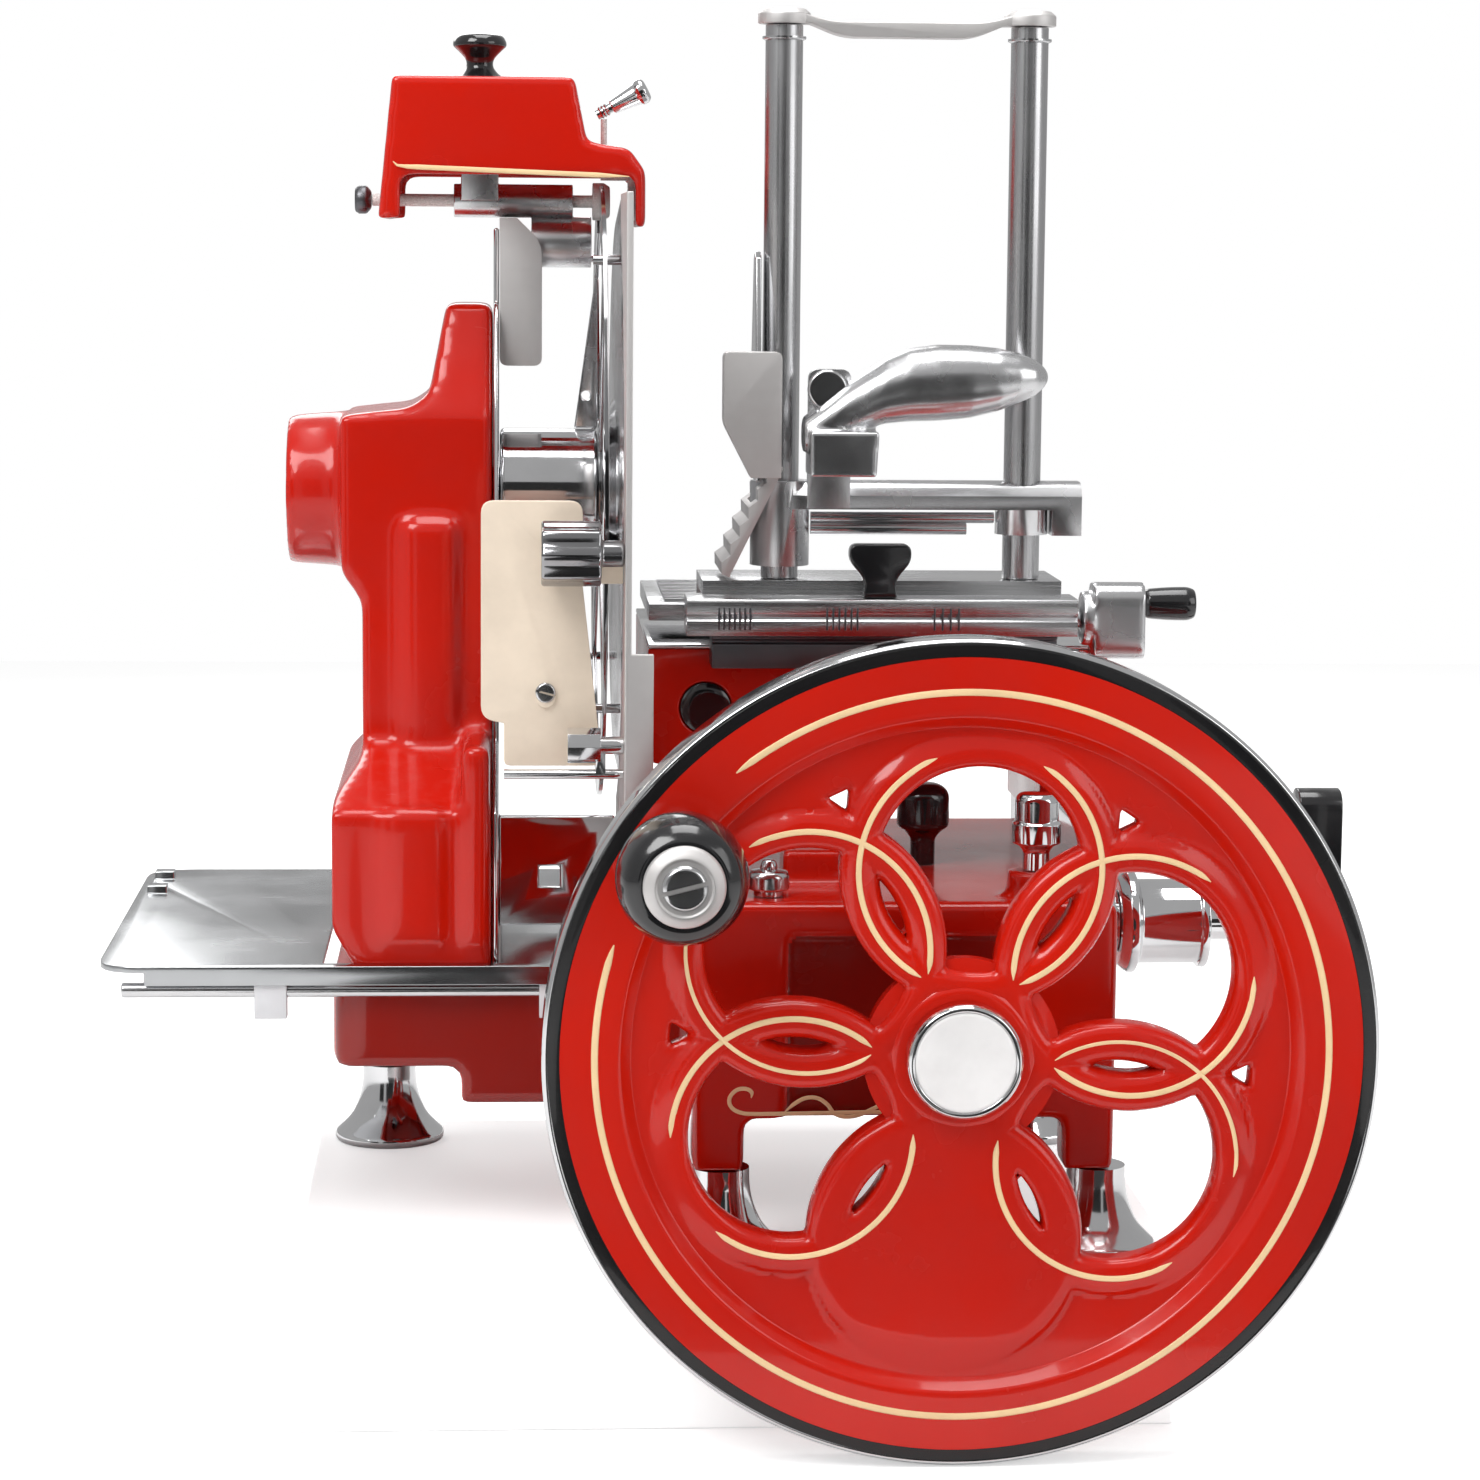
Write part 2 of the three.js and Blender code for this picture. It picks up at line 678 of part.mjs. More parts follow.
function columnSide(shrink = 0) {
  const height = COLUMN_TOP - COLUMN_BOTTOM;
  const waist = COLUMN_WAIST_DEPTH - shrink;
  const top = COLUMN_TOP_DEPTH - shrink;
  const side = (foot) => [
    [foot, COLUMN_BOTTOM],
    [foot, COLUMN_BOTTOM + height * COLUMN_FOOT_SHARE],
    [waist, COLUMN_BOTTOM + height * COLUMN_SHOULDER_SHARE],
    [waist, COLUMN_BOTTOM + height * COLUMN_NECK_SHARE],
    [top, COLUMN_TOP],
  ];
  const rear = side(BASE_REAR - BLADE_Y - shrink).map(([reach, z]) => [BLADE_Y + reach, z]);
  const front = side(BLADE_Y - COLUMN_FRONT - shrink).map(([reach, z]) => [BLADE_Y - reach, z]).reverse();
  return outline([...rear, ...front]);
}

function bladeColumn() {
  const body = pushed(columnPlan(), 'y', COLUMN_FRONT, BASE_REAR)
    .intersect(pushed(columnSide(), 'x', COLUMN_LEFT, COLUMN_RIGHT));
  const bossLength = CHAIN_X - BOSS_LEFT;
  const boss = turned([
    [0, 0], [BOSS_RADIUS, 0], [BOSS_ROOT_RADIUS, bossLength], [0, bossLength],
  ], 'x', [BOSS_LEFT, BLADE_Y, BLADE_Z], FINE);
  const chainRoom = block(
    [CHAIN_X - CHAIN_ROOM, BLADE_Y - CHAIN_ROOM * 2, COLUMN_BOTTOM - CUT_OVER],
    [CHAIN_X + CHAIN_ROOM, BLADE_Y + CHAIN_ROOM * 2, BLADE_Z + CHAIN_ROOM * 2],
  );
  const footRoom = block(
    [COLUMN_LEFT + COLUMN_WALL * 2, COLUMN_FRONT + COLUMN_WALL * 2, COLUMN_BOTTOM - CUT_OVER],
    [COLUMN_RIGHT - COLUMN_WALL, BASE_REAR - COLUMN_WALL * 2,
      COLUMN_BOTTOM + (COLUMN_TOP - COLUMN_BOTTOM) * COLUMN_FOOT_SHARE - COLUMN_WALL],
  );
  const shaftBore = rod('x', [BOSS_LEFT - CUT_OVER, BLADE_Y, BLADE_Z],
    BLADE_SHAFT_RADIUS + RUN_GAP, COLUMN_RIGHT - BOSS_LEFT + CUT_OVER * 2);
  const capSeat = rod('x', [BOSS_LEFT - CUT_OVER, BLADE_Y, BLADE_Z],
    BOSS_RADIUS - COLUMN_WALL, CUT_OVER + CAP_THICK * 2, FINE);
  return cut(join(body, boss), chainRoom, footRoom, shaftBore, capSeat);
}

function columnCap() {
  const radius = BOSS_RADIUS - COLUMN_WALL - SEAT_GAP;
  return turned([
    [0, 0], [radius * 0.8, 0], [radius, CAP_THICK * 0.4], [radius, CAP_THICK * 2 - SEAT_GAP],
    [radius * 0.85, CAP_THICK * 2 - SEAT_GAP], [radius * 0.8, CAP_THICK], [0, CAP_THICK],
  ], 'x', [BOSS_LEFT, BLADE_Y, BLADE_Z], FINE);
}

piece(slicer, 'blade_column', bladeColumn(), RED);
piece(slicer, 'column_cap', columnCap(), RED);

// Chromed side plate with the strap for the sharpener and the low bracket
const SIDE_PLATE_LEFT = COLUMN_RIGHT + SEAT_GAP;
const SIDE_PLATE_RIGHT = SIDE_PLATE_LEFT + SIDE_PLATE_THICK;
const STRAP_HALF = 14;

function columnPlate() {
  const plate = pushed(columnSide(SIDE_PLATE_THICK), 'x', SIDE_PLATE_LEFT, SIDE_PLATE_RIGHT);
  const strap = block(
    [SIDE_PLATE_LEFT, BLADE_Y - STRAP_HALF, COLUMN_TOP - STRAP_HALF],
    [SIDE_PLATE_RIGHT, BLADE_Y + STRAP_HALF, SIDE_PLATE_TOP],
  );
  const bracket = block(
    [SIDE_PLATE_LEFT, BRACKET_Y, BRACKET_BOTTOM],
    [BRACKET_RIGHT - SEAT_GAP, BRACKET_Y + SIDE_PLATE_THICK, BRACKET_TOP],
  );
  const hole = block(
    [BRACKET_HOLE_X - BRACKET_HOLE / 2, BRACKET_Y - CUT_OVER, BRACKET_HOLE_Z - BRACKET_HOLE / 2],
    [BRACKET_HOLE_X + BRACKET_HOLE / 2, BRACKET_Y + SIDE_PLATE_THICK + CUT_OVER,
      BRACKET_HOLE_Z + BRACKET_HOLE / 2],
  );
  const shaftHole = rod('x', [SIDE_PLATE_LEFT - CUT_OVER, BLADE_Y, BLADE_Z],
    BLADE_SHAFT_RADIUS + RUN_GAP, SIDE_PLATE_THICK + CUT_OVER * 2);
  return cut(join(plate, strap, bracket), hole, shaftHole);
}

function hubSleeve() {
  const left = SIDE_PLATE_RIGHT + SEAT_GAP;
  const length = GUARD_BACK - SEAT_GAP - left;
  const tube = rod('x', [left, BLADE_Y, BLADE_Z], SLEEVE_RADIUS, length, FINE);
  const bore = rod('x', [left - CUT_OVER, BLADE_Y, BLADE_Z],
    BLADE_SHAFT_RADIUS + RUN_GAP, length + CUT_OVER * 2);
  return cut(tube, bore);
}

piece(slicer, 'column_plate', columnPlate(), CHROME);
piece(slicer, 'hub_sleeve', hubSleeve(), CHROME);

// Blade guard: a ring on spokes, open over the stones, and the gusset that holds it up
const GUARD_FRONT = GUARD_BACK + GUARD_THICK;
const GUARD_HUB_RADIUS = 34;
const SPOKE_HALF = 8;
const SPOKE_ANGLES = [50, 130, 220, 320];
const STONE_GAP_HALF = 28;
const GUARD_PIN_LENGTH = 13;
const GUSSET_TOP = 455;
const GUSSET_HALF = 2;

function onGuard(body, degrees) {
  return body.translate([0, -BLADE_Y, -BLADE_Z]).rotate([degrees, 0, 0]).translate([0, BLADE_Y, BLADE_Z]);
}

function bladeGuard() {
  const length = GUARD_THICK;
  const disc = rod('x', [GUARD_BACK, BLADE_Y, BLADE_Z], GUARD_RADIUS, length, VERY_FINE);
  const inner = rod('x', [GUARD_BACK - CUT_OVER, BLADE_Y, BLADE_Z],
    GUARD_INNER, length + CUT_OVER * 2, VERY_FINE);
  const hub = rod('x', [GUARD_BACK, BLADE_Y, BLADE_Z], GUARD_HUB_RADIUS, length, FINE);
  const shaftHole = rod('x', [GUARD_BACK - CUT_OVER, BLADE_Y, BLADE_Z],
    BLADE_SHAFT_RADIUS + RUN_GAP, length + CUT_OVER * 2);
  const spoke = block(
    [GUARD_BACK, BLADE_Y, BLADE_Z - SPOKE_HALF],
    [GUARD_FRONT, BLADE_Y + GUARD_INNER + SPOKE_HALF, BLADE_Z + SPOKE_HALF],
  );
  const pin = rod('x', [GUARD_FRONT - GUARD_PIN_LENGTH / 2,
    BLADE_Y + GUARD_RADIUS - GUARD_PIN_RADIUS * 1.5, BLADE_Z], GUARD_PIN_RADIUS, GUARD_PIN_LENGTH);
  const stoneGap = block(
    [GUARD_BACK - CUT_OVER, BLADE_Y - STONE_GAP_HALF, BLADE_Z + GUARD_HUB_RADIUS],
    [GUARD_FRONT + CUT_OVER, BLADE_Y + STONE_GAP_HALF, BLADE_Z + GUARD_RADIUS + CUT_OVER],
  );
  const ring = cut(disc, inner);
  const spokes = SPOKE_ANGLES.map((degrees) => onGuard(spoke, degrees));
  const pins = SPOKE_ANGLES.map((degrees) => onGuard(pin, degrees));
  return cut(join(ring, hub, ...spokes, ...pins), stoneGap, shaftHole);
}

function guardArm() {
  const foot = BLADE_Z + SLEEVE_RADIUS + SEAT_GAP;
  const right = GUARD_BACK - SEAT_GAP;
  const left = right - SPOKE_HALF * 1.4;
  const gusset = pushed(outline([[left, foot], [right, foot], [right, GUSSET_TOP]]),
    'y', BLADE_Y - GUSSET_HALF, BLADE_Y + GUSSET_HALF);
  const hole = rod('y', [right - SPOKE_HALF * 0.7, BLADE_Y - GUSSET_HALF - CUT_OVER, foot + SPOKE_HALF * 2],
    GUARD_PIN_RADIUS, GUSSET_HALF * 2 + CUT_OVER * 2);
  return cut(gusset, hole);
}

piece(slicer, 'blade_guard', bladeGuard(), CHROME);
piece(slicer, 'guard_arm', guardArm(), ALUMINIUM);

// Blade on its shaft, with the upper sprocket
const bladeAxis = [0, BLADE_Y, BLADE_Z];
const BLADE_BACK = BLADE_FACE - BLADE_THICK;
const BLADE_HUB_DEPTH = 4;
const BLADE_DISH = 1.6;
const SHAFT_LEFT = BOSS_LEFT + CAP_THICK * 2 + RUN_GAP;
const SHAFT_RIGHT = BLADE_BACK - BLADE_HUB_DEPTH - SEAT_GAP;

function blade() {
  const profile = [
    [0, BLADE_BACK - BLADE_HUB_DEPTH],
    [BLADE_HUB_RADIUS * 0.7, BLADE_BACK - BLADE_HUB_DEPTH],
    [BLADE_HUB_RADIUS, BLADE_BACK],
    [BLADE_RADIUS - BLADE_BEVEL, BLADE_BACK],
    [BLADE_RADIUS, BLADE_FACE],
    [BLADE_HUB_RADIUS * 1.4, BLADE_FACE - BLADE_DISH * 0.3],
    [BLADE_HUB_RADIUS, BLADE_FACE - BLADE_DISH],
    [0, BLADE_FACE - BLADE_DISH],
  ];
  return turned(profile, 'x', bladeAxis, VERY_FINE);
}

function sprocket(x, y, z) {
  return pushed(toothed(SPROCKET_RADIUS, TOOTH_DEPTH, SPROCKET_TEETH), 'x',
    x - SPROCKET_WIDTH / 2, x + SPROCKET_WIDTH / 2).translate([0, y, z]);
}

function bladeShaft() {
  const shaft = rod('x', [SHAFT_LEFT, BLADE_Y, BLADE_Z], BLADE_SHAFT_RADIUS, SHAFT_RIGHT - SHAFT_LEFT);
  return join(shaft, sprocket(CHAIN_X, BLADE_Y, BLADE_Z));
}

piece(slicer, 'blade', blade(), CHROME);
piece(slicer, 'blade_shaft', bladeShaft(), STEEL);

// Bevel gears and the cross shaft with the lower sprocket
function bevelGear(radius, teeth, faceWidth) {
  const geometry = new THREE.ExtrudeGeometry(toothed(radius, TOOTH_DEPTH, teeth), {
    depth: faceWidth, bevelEnabled: false, curveSegments: 1,
  });
  const places = geometry.attributes.position;
  for (let index = 0; index < places.count; index += 1) {
    const share = 1 - GEAR_FACE_SHARE * (places.getZ(index) / faceWidth);
    places.setX(index, places.getX(index) * share);
    places.setY(index, places.getY(index) * share);
  }
  return geometry;
}

function flywheelShaft() {
  const gearY = BLADE_Y - PINION_RADIUS - GEAR_BACKLASH;
  const faceWidth = PINION_RADIUS * GEAR_FACE_SHARE;
  const gear = bevelGear(GEAR_RADIUS, GEAR_TEETH, faceWidth);
  gear.rotateX(-Math.PI / 2);
  gear.translate(WHEEL_X, gearY, WHEEL_Z);
  const start = WHEEL_FRONT + WHEEL_DEPTH / 2;
  const shaft = rod('y', [WHEEL_X, start, WHEEL_Z], SHAFT_RADIUS, gearY + faceWidth - start);
  return join(shaft, solid(gear));
}

function crossShaft() {
  const pinionX = WHEEL_X - GEAR_RADIUS - GEAR_BACKLASH;
  const faceWidth = GEAR_RADIUS * GEAR_FACE_SHARE;
  const pinion = bevelGear(PINION_RADIUS, PINION_TEETH, faceWidth);
  pinion.rotateY(Math.PI / 2);
  pinion.translate(pinionX, BLADE_Y, WHEEL_Z);
  const left = CHAIN_X - CHAIN_ROOM + RUN_GAP;
  const shaft = rod('x', [left, BLADE_Y, WHEEL_Z], CROSS_SHAFT_RADIUS, pinionX + faceWidth - left);
  return join(shaft, solid(pinion), sprocket(CHAIN_X, BLADE_Y, WHEEL_Z));
}

function driveChain() {
  const inner = SPROCKET_RADIUS + RUN_GAP;
  const outer = inner + CHAIN_THICK;
  const loop = (radius) => {
    const shape = new THREE.Shape();
    shape.absarc(BLADE_Y, BLADE_Z, radius, 0, Math.PI);
    shape.absarc(BLADE_Y, WHEEL_Z, radius, Math.PI, Math.PI * 2);
    shape.closePath();
    return shape;
  };
  const from = CHAIN_X - CHAIN_WIDTH / 2;
  const to = CHAIN_X + CHAIN_WIDTH / 2;
  const inside = pushed(loop(inner), 'x', from - CUT_OVER, to + CUT_OVER, COARSE);
  return cut(pushed(loop(outer), 'x', from, to, COARSE), inside);
}

piece(slicer, 'flywheel_shaft', flywheelShaft(), STEEL);
piece(slicer, 'cross_shaft', crossShaft(), STEEL);
piece(slicer, 'drive_chain', driveChain(), DARK_STEEL);

// Flywheel: a deep rim, a web with petal windows and a hub, drawn about its own axis
const WINDOW_ANGLES = [30, 90, 150, 210, 330];
const FULL_TURN = 360;
const WEB_FRONT = WHEEL_FRONT + WEB_INSET;
const WHEEL_BACK = WHEEL_FRONT + WHEEL_DEPTH;
const HUB_END = BASE_FRONT - WHEEL_BOSS_PROUD - RUN_GAP;
const PETAL_STEP = FULL_TURN / PETAL_COUNT;
const CORNER_PETALS = [0, 60, 120, 180];

// A disc through the web round the middle of a window
function windowDisc(degrees, radius) {
  const shape = new THREE.Shape();
  shape.absarc(0, WINDOW_CENTRE, radius, 0, Math.PI * 2);
  return webCutter(shape, degrees);
}

// A window: a disc less the strands of the two windows beside it
function windowCutter(degrees) {
  const strand = STRAND_RADIUS + STRAND_HALF;
  return cut(
    windowDisc(degrees, STRAND_RADIUS - STRAND_HALF),
    windowDisc(degrees - PETAL_STEP, strand),
    windowDisc(degrees + PETAL_STEP, strand),
  );
}

// The lens left between two neighbouring strands
function slotCutter(degrees) {
  const radius = STRAND_RADIUS - STRAND_HALF - SLOT_INSET;
  return windowDisc(degrees - PETAL_STEP / 2, radius).intersect(windowDisc(degrees + PETAL_STEP / 2, radius));
}

function rimHoleShape() {
  const half = RIM_HOLE_SIDE / 2;
  return outline([
    [-half, RIM_HOLE_CENTRE + half * 0.7, half * 0.4],
    [0, RIM_HOLE_CENTRE - half, half * 0.4],
    [half, RIM_HOLE_CENTRE + half * 0.7, half * 0.4],
  ]);
}

// A cutter through the web, turned to its place round the wheel
function webCutter(shape, degrees) {
  const cutter = pushed(shape, 'y', WHEEL_FRONT - CUT_OVER, WHEEL_BACK + CUT_OVER, 6);
  return cutter.rotate([0, 90 - degrees - PETAL_TURN, 0]).translate([WHEEL_X, 0, WHEEL_Z]);
}

function flywheel() {
  const axis = [WHEEL_X, 0, WHEEL_Z];
  const lipRise = RIM_FLAT_INNER - RIM_INNER;
  const body = turned([
    [0, WEB_FRONT],
    [RIM_INNER, WEB_FRONT],
    [RIM_FLAT_INNER, WHEEL_FRONT],
    [WHEEL_RADIUS - lipRise / 3, WHEEL_FRONT],
    [WHEEL_RADIUS, WHEEL_FRONT + lipRise / 3],
    [WHEEL_RADIUS, WHEEL_BACK],
    [WHEEL_RADIUS - HUB_BACK, WHEEL_BACK],
    [RIM_FLAT_INNER, WEB_FRONT + WEB_THICK],
    [0, WEB_FRONT + WEB_THICK],
  ], 'y', axis, VERY_FINE);
  const hub = turned([
    [0, WHEEL_FRONT + HUB_CAP_EDGE],
    [HUB_RADIUS - HUB_CAP_EDGE, WHEEL_FRONT + HUB_CAP_EDGE],
    [HUB_RADIUS, WEB_FRONT],
    [HUB_RADIUS, WHEEL_BACK],
    [WHEEL_BOSS_RADIUS, WHEEL_BACK + HUB_BACK],
    [WHEEL_BOSS_RADIUS, HUB_END],
    [0, HUB_END],
  ], 'y', axis, FINE);
  const windows = WINDOW_ANGLES.map(windowCutter);
  const petals = Array.from({ length: PETAL_COUNT }, (_, index) => index * PETAL_STEP);
  const slots = petals.map(slotCutter);
  const corners = CORNER_PETALS.map((degrees) => webCutter(rimHoleShape(), degrees));
  const bore = rod('y', [WHEEL_X, WHEEL_FRONT + WHEEL_DEPTH / 2 - SEAT_GAP, WHEEL_Z],
    SHAFT_RADIUS + SEAT_GAP, HUB_END - WHEEL_FRONT);
  const pinBore = rod('y', [crankX, WHEEL_FRONT - CUT_OVER, crankZ],
    CRANK_PIN_RADIUS + SEAT_GAP, WHEEL_DEPTH + CUT_OVER * 2);
  return cut(join(body, hub), ...windows, ...slots, ...corners, bore, pinBore);
}

const crankTurn = CRANK_ANGLE * (Math.PI * 2 / FULL_TURN);
const crankX = WHEEL_X + Math.cos(crankTurn) * CRANK_RADIUS;
const crankZ = WHEEL_Z + Math.sin(crankTurn) * CRANK_RADIUS;

function hubCap() {
  const seat = WHEEL_FRONT + HUB_CAP_EDGE - SEAT_GAP;
  return turned([
    [0, -HUB_CAP_PROUD],
    [HUB_CAP_RADIUS - HUB_CAP_EDGE, -HUB_CAP_PROUD],
    [HUB_CAP_RADIUS, HUB_CAP_EDGE - HUB_CAP_PROUD],
    [HUB_CAP_RADIUS, 0],
    [0, 0],
  ], 'y', [WHEEL_X, seat, WHEEL_Z], FINE);
}

piece(slicer, 'flywheel', flywheel(), RED);
piece(slicer, 'hub_cap', hubCap(), CHROME);

// Crank handle: a shouldered screw in the rim and a grip that turns on it
const GRIP_BACK = WHEEL_FRONT - GRIP_STAND_OFF;
const GRIP_FRONT = GRIP_BACK - GRIP_LENGTH;

function crankPin() {
  const washerFront = GRIP_FRONT - SEAT_GAP - WASHER_THICK;
  const headFront = washerFront - WASHER_THICK;
  const shoulder = WHEEL_FRONT - SEAT_GAP;
  const profile = [
    [0, headFront],
    [SCREW_HEAD_RADIUS, headFront],
    [SCREW_HEAD_RADIUS, washerFront],
    [WASHER_RADIUS, washerFront + WASHER_THICK / 3],
    [WASHER_RADIUS, washerFront + WASHER_THICK],
    [CRANK_PIN_RADIUS, washerFront + WASHER_THICK],
    [CRANK_PIN_RADIUS, GRIP_BACK + RUN_GAP],
    [CRANK_PIN_RADIUS * 2, GRIP_BACK + RUN_GAP],
    [CRANK_PIN_RADIUS * 2, shoulder],
    [CRANK_PIN_RADIUS, shoulder],
    [CRANK_PIN_RADIUS, WHEEL_BACK - HUB_CAP_EDGE],
    [0, WHEEL_BACK - HUB_CAP_EDGE],
  ];
  const slot = block(
    [crankX - SCREW_HEAD_RADIUS - CUT_OVER, headFront - CUT_OVER, crankZ - SCREW_SLOT / 2],
    [crankX + SCREW_HEAD_RADIUS + CUT_OVER, headFront + SCREW_SLOT, crankZ + SCREW_SLOT / 2],
  );
  return cut(turned(profile, 'y', [crankX, 0, crankZ]), slot);
}

function crankGrip() {
  const inner = CRANK_PIN_RADIUS + RUN_GAP;
  const profile = [
    [inner, GRIP_FRONT],
    [GRIP_FACE_RADIUS, GRIP_FRONT],
    [GRIP_RADIUS * 0.85, GRIP_FRONT + GRIP_LENGTH * 0.08],
    [GRIP_RADIUS, GRIP_FRONT + GRIP_LENGTH * 0.3],
    [GRIP_RADIUS * 0.92, GRIP_FRONT + GRIP_LENGTH * 0.55],
    [GRIP_NECK_RADIUS, GRIP_FRONT + GRIP_LENGTH * 0.88],
    [GRIP_NECK_RADIUS, GRIP_BACK],
    [inner, GRIP_BACK],
    [inner, GRIP_FRONT],
  ];
  return turned(profile, 'y', [crankX, 0, crankZ], FINE);
}

piece(slicer, 'crank_pin', crankPin(), STEEL);
piece(slicer, 'crank_grip', crankGrip(), BLACK);

// Receiving tray, cut round the column, with its rail and clips
const TRAY_SLOT_RIGHT = SIDE_PLATE_RIGHT + RUN_GAP * 2;
const TRAY_BOTTOM = TRAY_TOP - TRAY_THICK;
const TRAY_RAIL_Y = WING_FRONT - SEAT_GAP - TRAY_RAIL_RADIUS;
const TRAY_RAIL_Z = TRAY_TOP - TRAY_RAIL_DROP;
const LATCH_HALF = 5;
const LATCH_RISE = 4;
const LATCH_SHARES = [0.82, 0.98];

function receivingTray() {
  const plate = pushed(outline([
    [TRAY_LEFT, TRAY_FRONT, TRAY_CORNER],
    [TRAY_RIGHT, TRAY_FRONT],
    [TRAY_RIGHT, TRAY_REAR, TRAY_CORNER / 2],
    [TRAY_LEFT, TRAY_REAR, TRAY_CORNER],
  ]), 'z', TRAY_BOTTOM, TRAY_TOP);
  const lip = block(
    [TRAY_LEFT + TRAY_CORNER, TRAY_FRONT, TRAY_TOP - TRAY_LIP],
    [TRAY_RIGHT, TRAY_FRONT + TRAY_THICK / 2, TRAY_BOTTOM + SEAT_GAP],
  );
  const slot = block(
    [TRAY_SLOT_LEFT, COLUMN_FRONT - RUN_GAP * 2, TRAY_BOTTOM - CUT_OVER],
    [TRAY_SLOT_RIGHT, TRAY_REAR + CUT_OVER, TRAY_TOP + CUT_OVER],
  );
  const latches = LATCH_SHARES.map((share) => {
    const y = TRAY_FRONT + (TRAY_REAR - TRAY_FRONT) * share - TRAY_CORNER;
    return block(
      [TRAY_LEFT + LATCH_HALF, y - LATCH_HALF, TRAY_BOTTOM],
      [TRAY_LEFT + LATCH_HALF * 3, y + LATCH_HALF, TRAY_TOP + LATCH_RISE],
    );
  });
  return cut(join(plate, lip, ...latches), slot);
}

function trayClip(x) {
  const front = TRAY_FRONT + TRAY_THICK / 2 + SEAT_GAP;
  const body = block(
    [x - CLIP_WIDTH / 2, front, TRAY_TOP - TRAY_THICK - CLIP_DROP],
    [x + CLIP_WIDTH / 2, WING_FRONT - SEAT_GAP, TRAY_BOTTOM - SEAT_GAP],
  );
  const bore = rod('x', [x - CLIP_WIDTH, TRAY_RAIL_Y, TRAY_RAIL_Z],
    TRAY_RAIL_RADIUS + SEAT_GAP, CLIP_WIDTH * 2);
  return cut(body, bore);
}

const railStart = TRAY_LEFT + TRAY_CORNER / 2;
piece(slicer, 'receiving_tray', receivingTray(), STEEL);
const trayRail = rod('x', [railStart, TRAY_RAIL_Y, TRAY_RAIL_Z], TRAY_RAIL_RADIUS, TRAY_RIGHT - railStart);
piece(slicer, 'tray_rail', trayRail, CHROME);
piece(slicer, 'tray_clip_left', trayClip(CLIP_LEFT_X), WHITE);
piece(slicer, 'tray_clip_right', trayClip(CLIP_RIGHT_X), WHITE);

// Gauge plate: coplanar with the blade and hollowed round it, on a rod into the base
const GAUGE_RIGHT = BLADE_FACE;
const GAUGE_LEFT = GAUGE_RIGHT - GAUGE_THICK;
const GAUGE_ARC = GUARD_RADIUS + RUN_GAP * 3;
const GAUGE_ARM_HALF = 12;
const DIAL_ROD_END = 60;

function gaugePlate() {
  const plate = block(
    [GAUGE_LEFT, GAUGE_FRONT, GAUGE_BOTTOM],
    [GAUGE_RIGHT, GAUGE_FRONT + GAUGE_ARM_HALF * 8, GAUGE_TOP],
  );
  const arm = block(
    [GAUGE_LEFT, DIAL_Y - GAUGE_ARM_HALF * 3, DIAL_Z - GAUGE_ARM_HALF],
    [GAUGE_RIGHT, DIAL_Y + GAUGE_ARM_HALF, GAUGE_BOTTOM + GAUGE_ARM_HALF],
  );
  const arc = rod('x', [GAUGE_LEFT - CUT_OVER, BLADE_Y, BLADE_Z],
    GAUGE_ARC, GAUGE_THICK + CUT_OVER * 2, VERY_FINE);
  const flange = block(
    [GAUGE_LEFT, GAUGE_FRONT, GAUGE_BOTTOM],
    [GAUGE_FLANGE_RIGHT, GAUGE_FRONT + GAUGE_THICK, GAUGE_FLANGE_TOP],
  );
  const spindle = rod('x', [GAUGE_LEFT + SEAT_GAP, DIAL_Y, DIAL_Z],
    GAUGE_ROD_RADIUS, DIAL_ROD_END - GAUGE_LEFT);
  return join(cut(join(plate, arm), arc), flange, spindle);
}

// Thickness dial: disc, barrel, shaft into the base and the black wing at its end
function thicknessDial() {
  const start = DIAL_ROD_END + SEAT_GAP * 2;
  const discEdge = DIAL_RADIUS * 0.16;
  const profile = [
    [0, start],
    [GAUGE_ROD_RADIUS, start],
    [GAUGE_ROD_RADIUS, BARREL_LEFT],
    [DIAL_RADIUS - discEdge, BARREL_LEFT],
    [DIAL_RADIUS, BARREL_LEFT + discEdge],
    [DIAL_RADIUS, BARREL_LEFT + discEdge * 2],
    [BARREL_RADIUS, BARREL_LEFT + discEdge * 2.5],
    [BARREL_RADIUS, BARREL_RIGHT - discEdge],
    [BARREL_RADIUS + discEdge / 2, BARREL_RIGHT - discEdge],
    [BARREL_RADIUS + discEdge / 2, BARREL_RIGHT],
    [DIAL_SHAFT_RADIUS, BARREL_RIGHT],
    [DIAL_SHAFT_RADIUS, WING_KNOB_X + WING_KNOB_WIDTH],
    [0, WING_KNOB_X + WING_KNOB_WIDTH],
  ];
  const shaft = turned(profile, 'x', [0, DIAL_Y, DIAL_Z], FINE);
  const top = WING_KNOB_Z + WING_KNOB_REACH;
  const half = WING_KNOB_WIDTH / 2;
  const wingBlade = pushed(outline([
    [DIAL_Y - half, DIAL_Z, half / 2],
    [DIAL_Y + half, DIAL_Z, half / 2],
    [DIAL_Y + half, top, half],
    [DIAL_Y - half, top, half],
  ]), 'x', WING_KNOB_X, WING_KNOB_X + WING_KNOB_WIDTH);
  const hub = rod('x', [WING_KNOB_X, DIAL_Y, DIAL_Z], BARREL_RADIUS * 0.8, WING_KNOB_WIDTH, FINE);
  return join(shaft, wingBlade, hub);
}

// Fixed sleeve between the base and the dial
function thicknessBarrel() {
  const left = BASE_RIGHT + SEAT_GAP;
  const length = BARREL_LEFT - SEAT_GAP - left;
  const tube = rod('x', [left, DIAL_Y, DIAL_Z], BARREL_RADIUS * 0.75, length, FINE);
  const bore = rod('x', [left - CUT_OVER, DIAL_Y, DIAL_Z], GAUGE_ROD_RADIUS + RUN_GAP, length + CUT_OVER * 2);
  return cut(tube, bore);
}

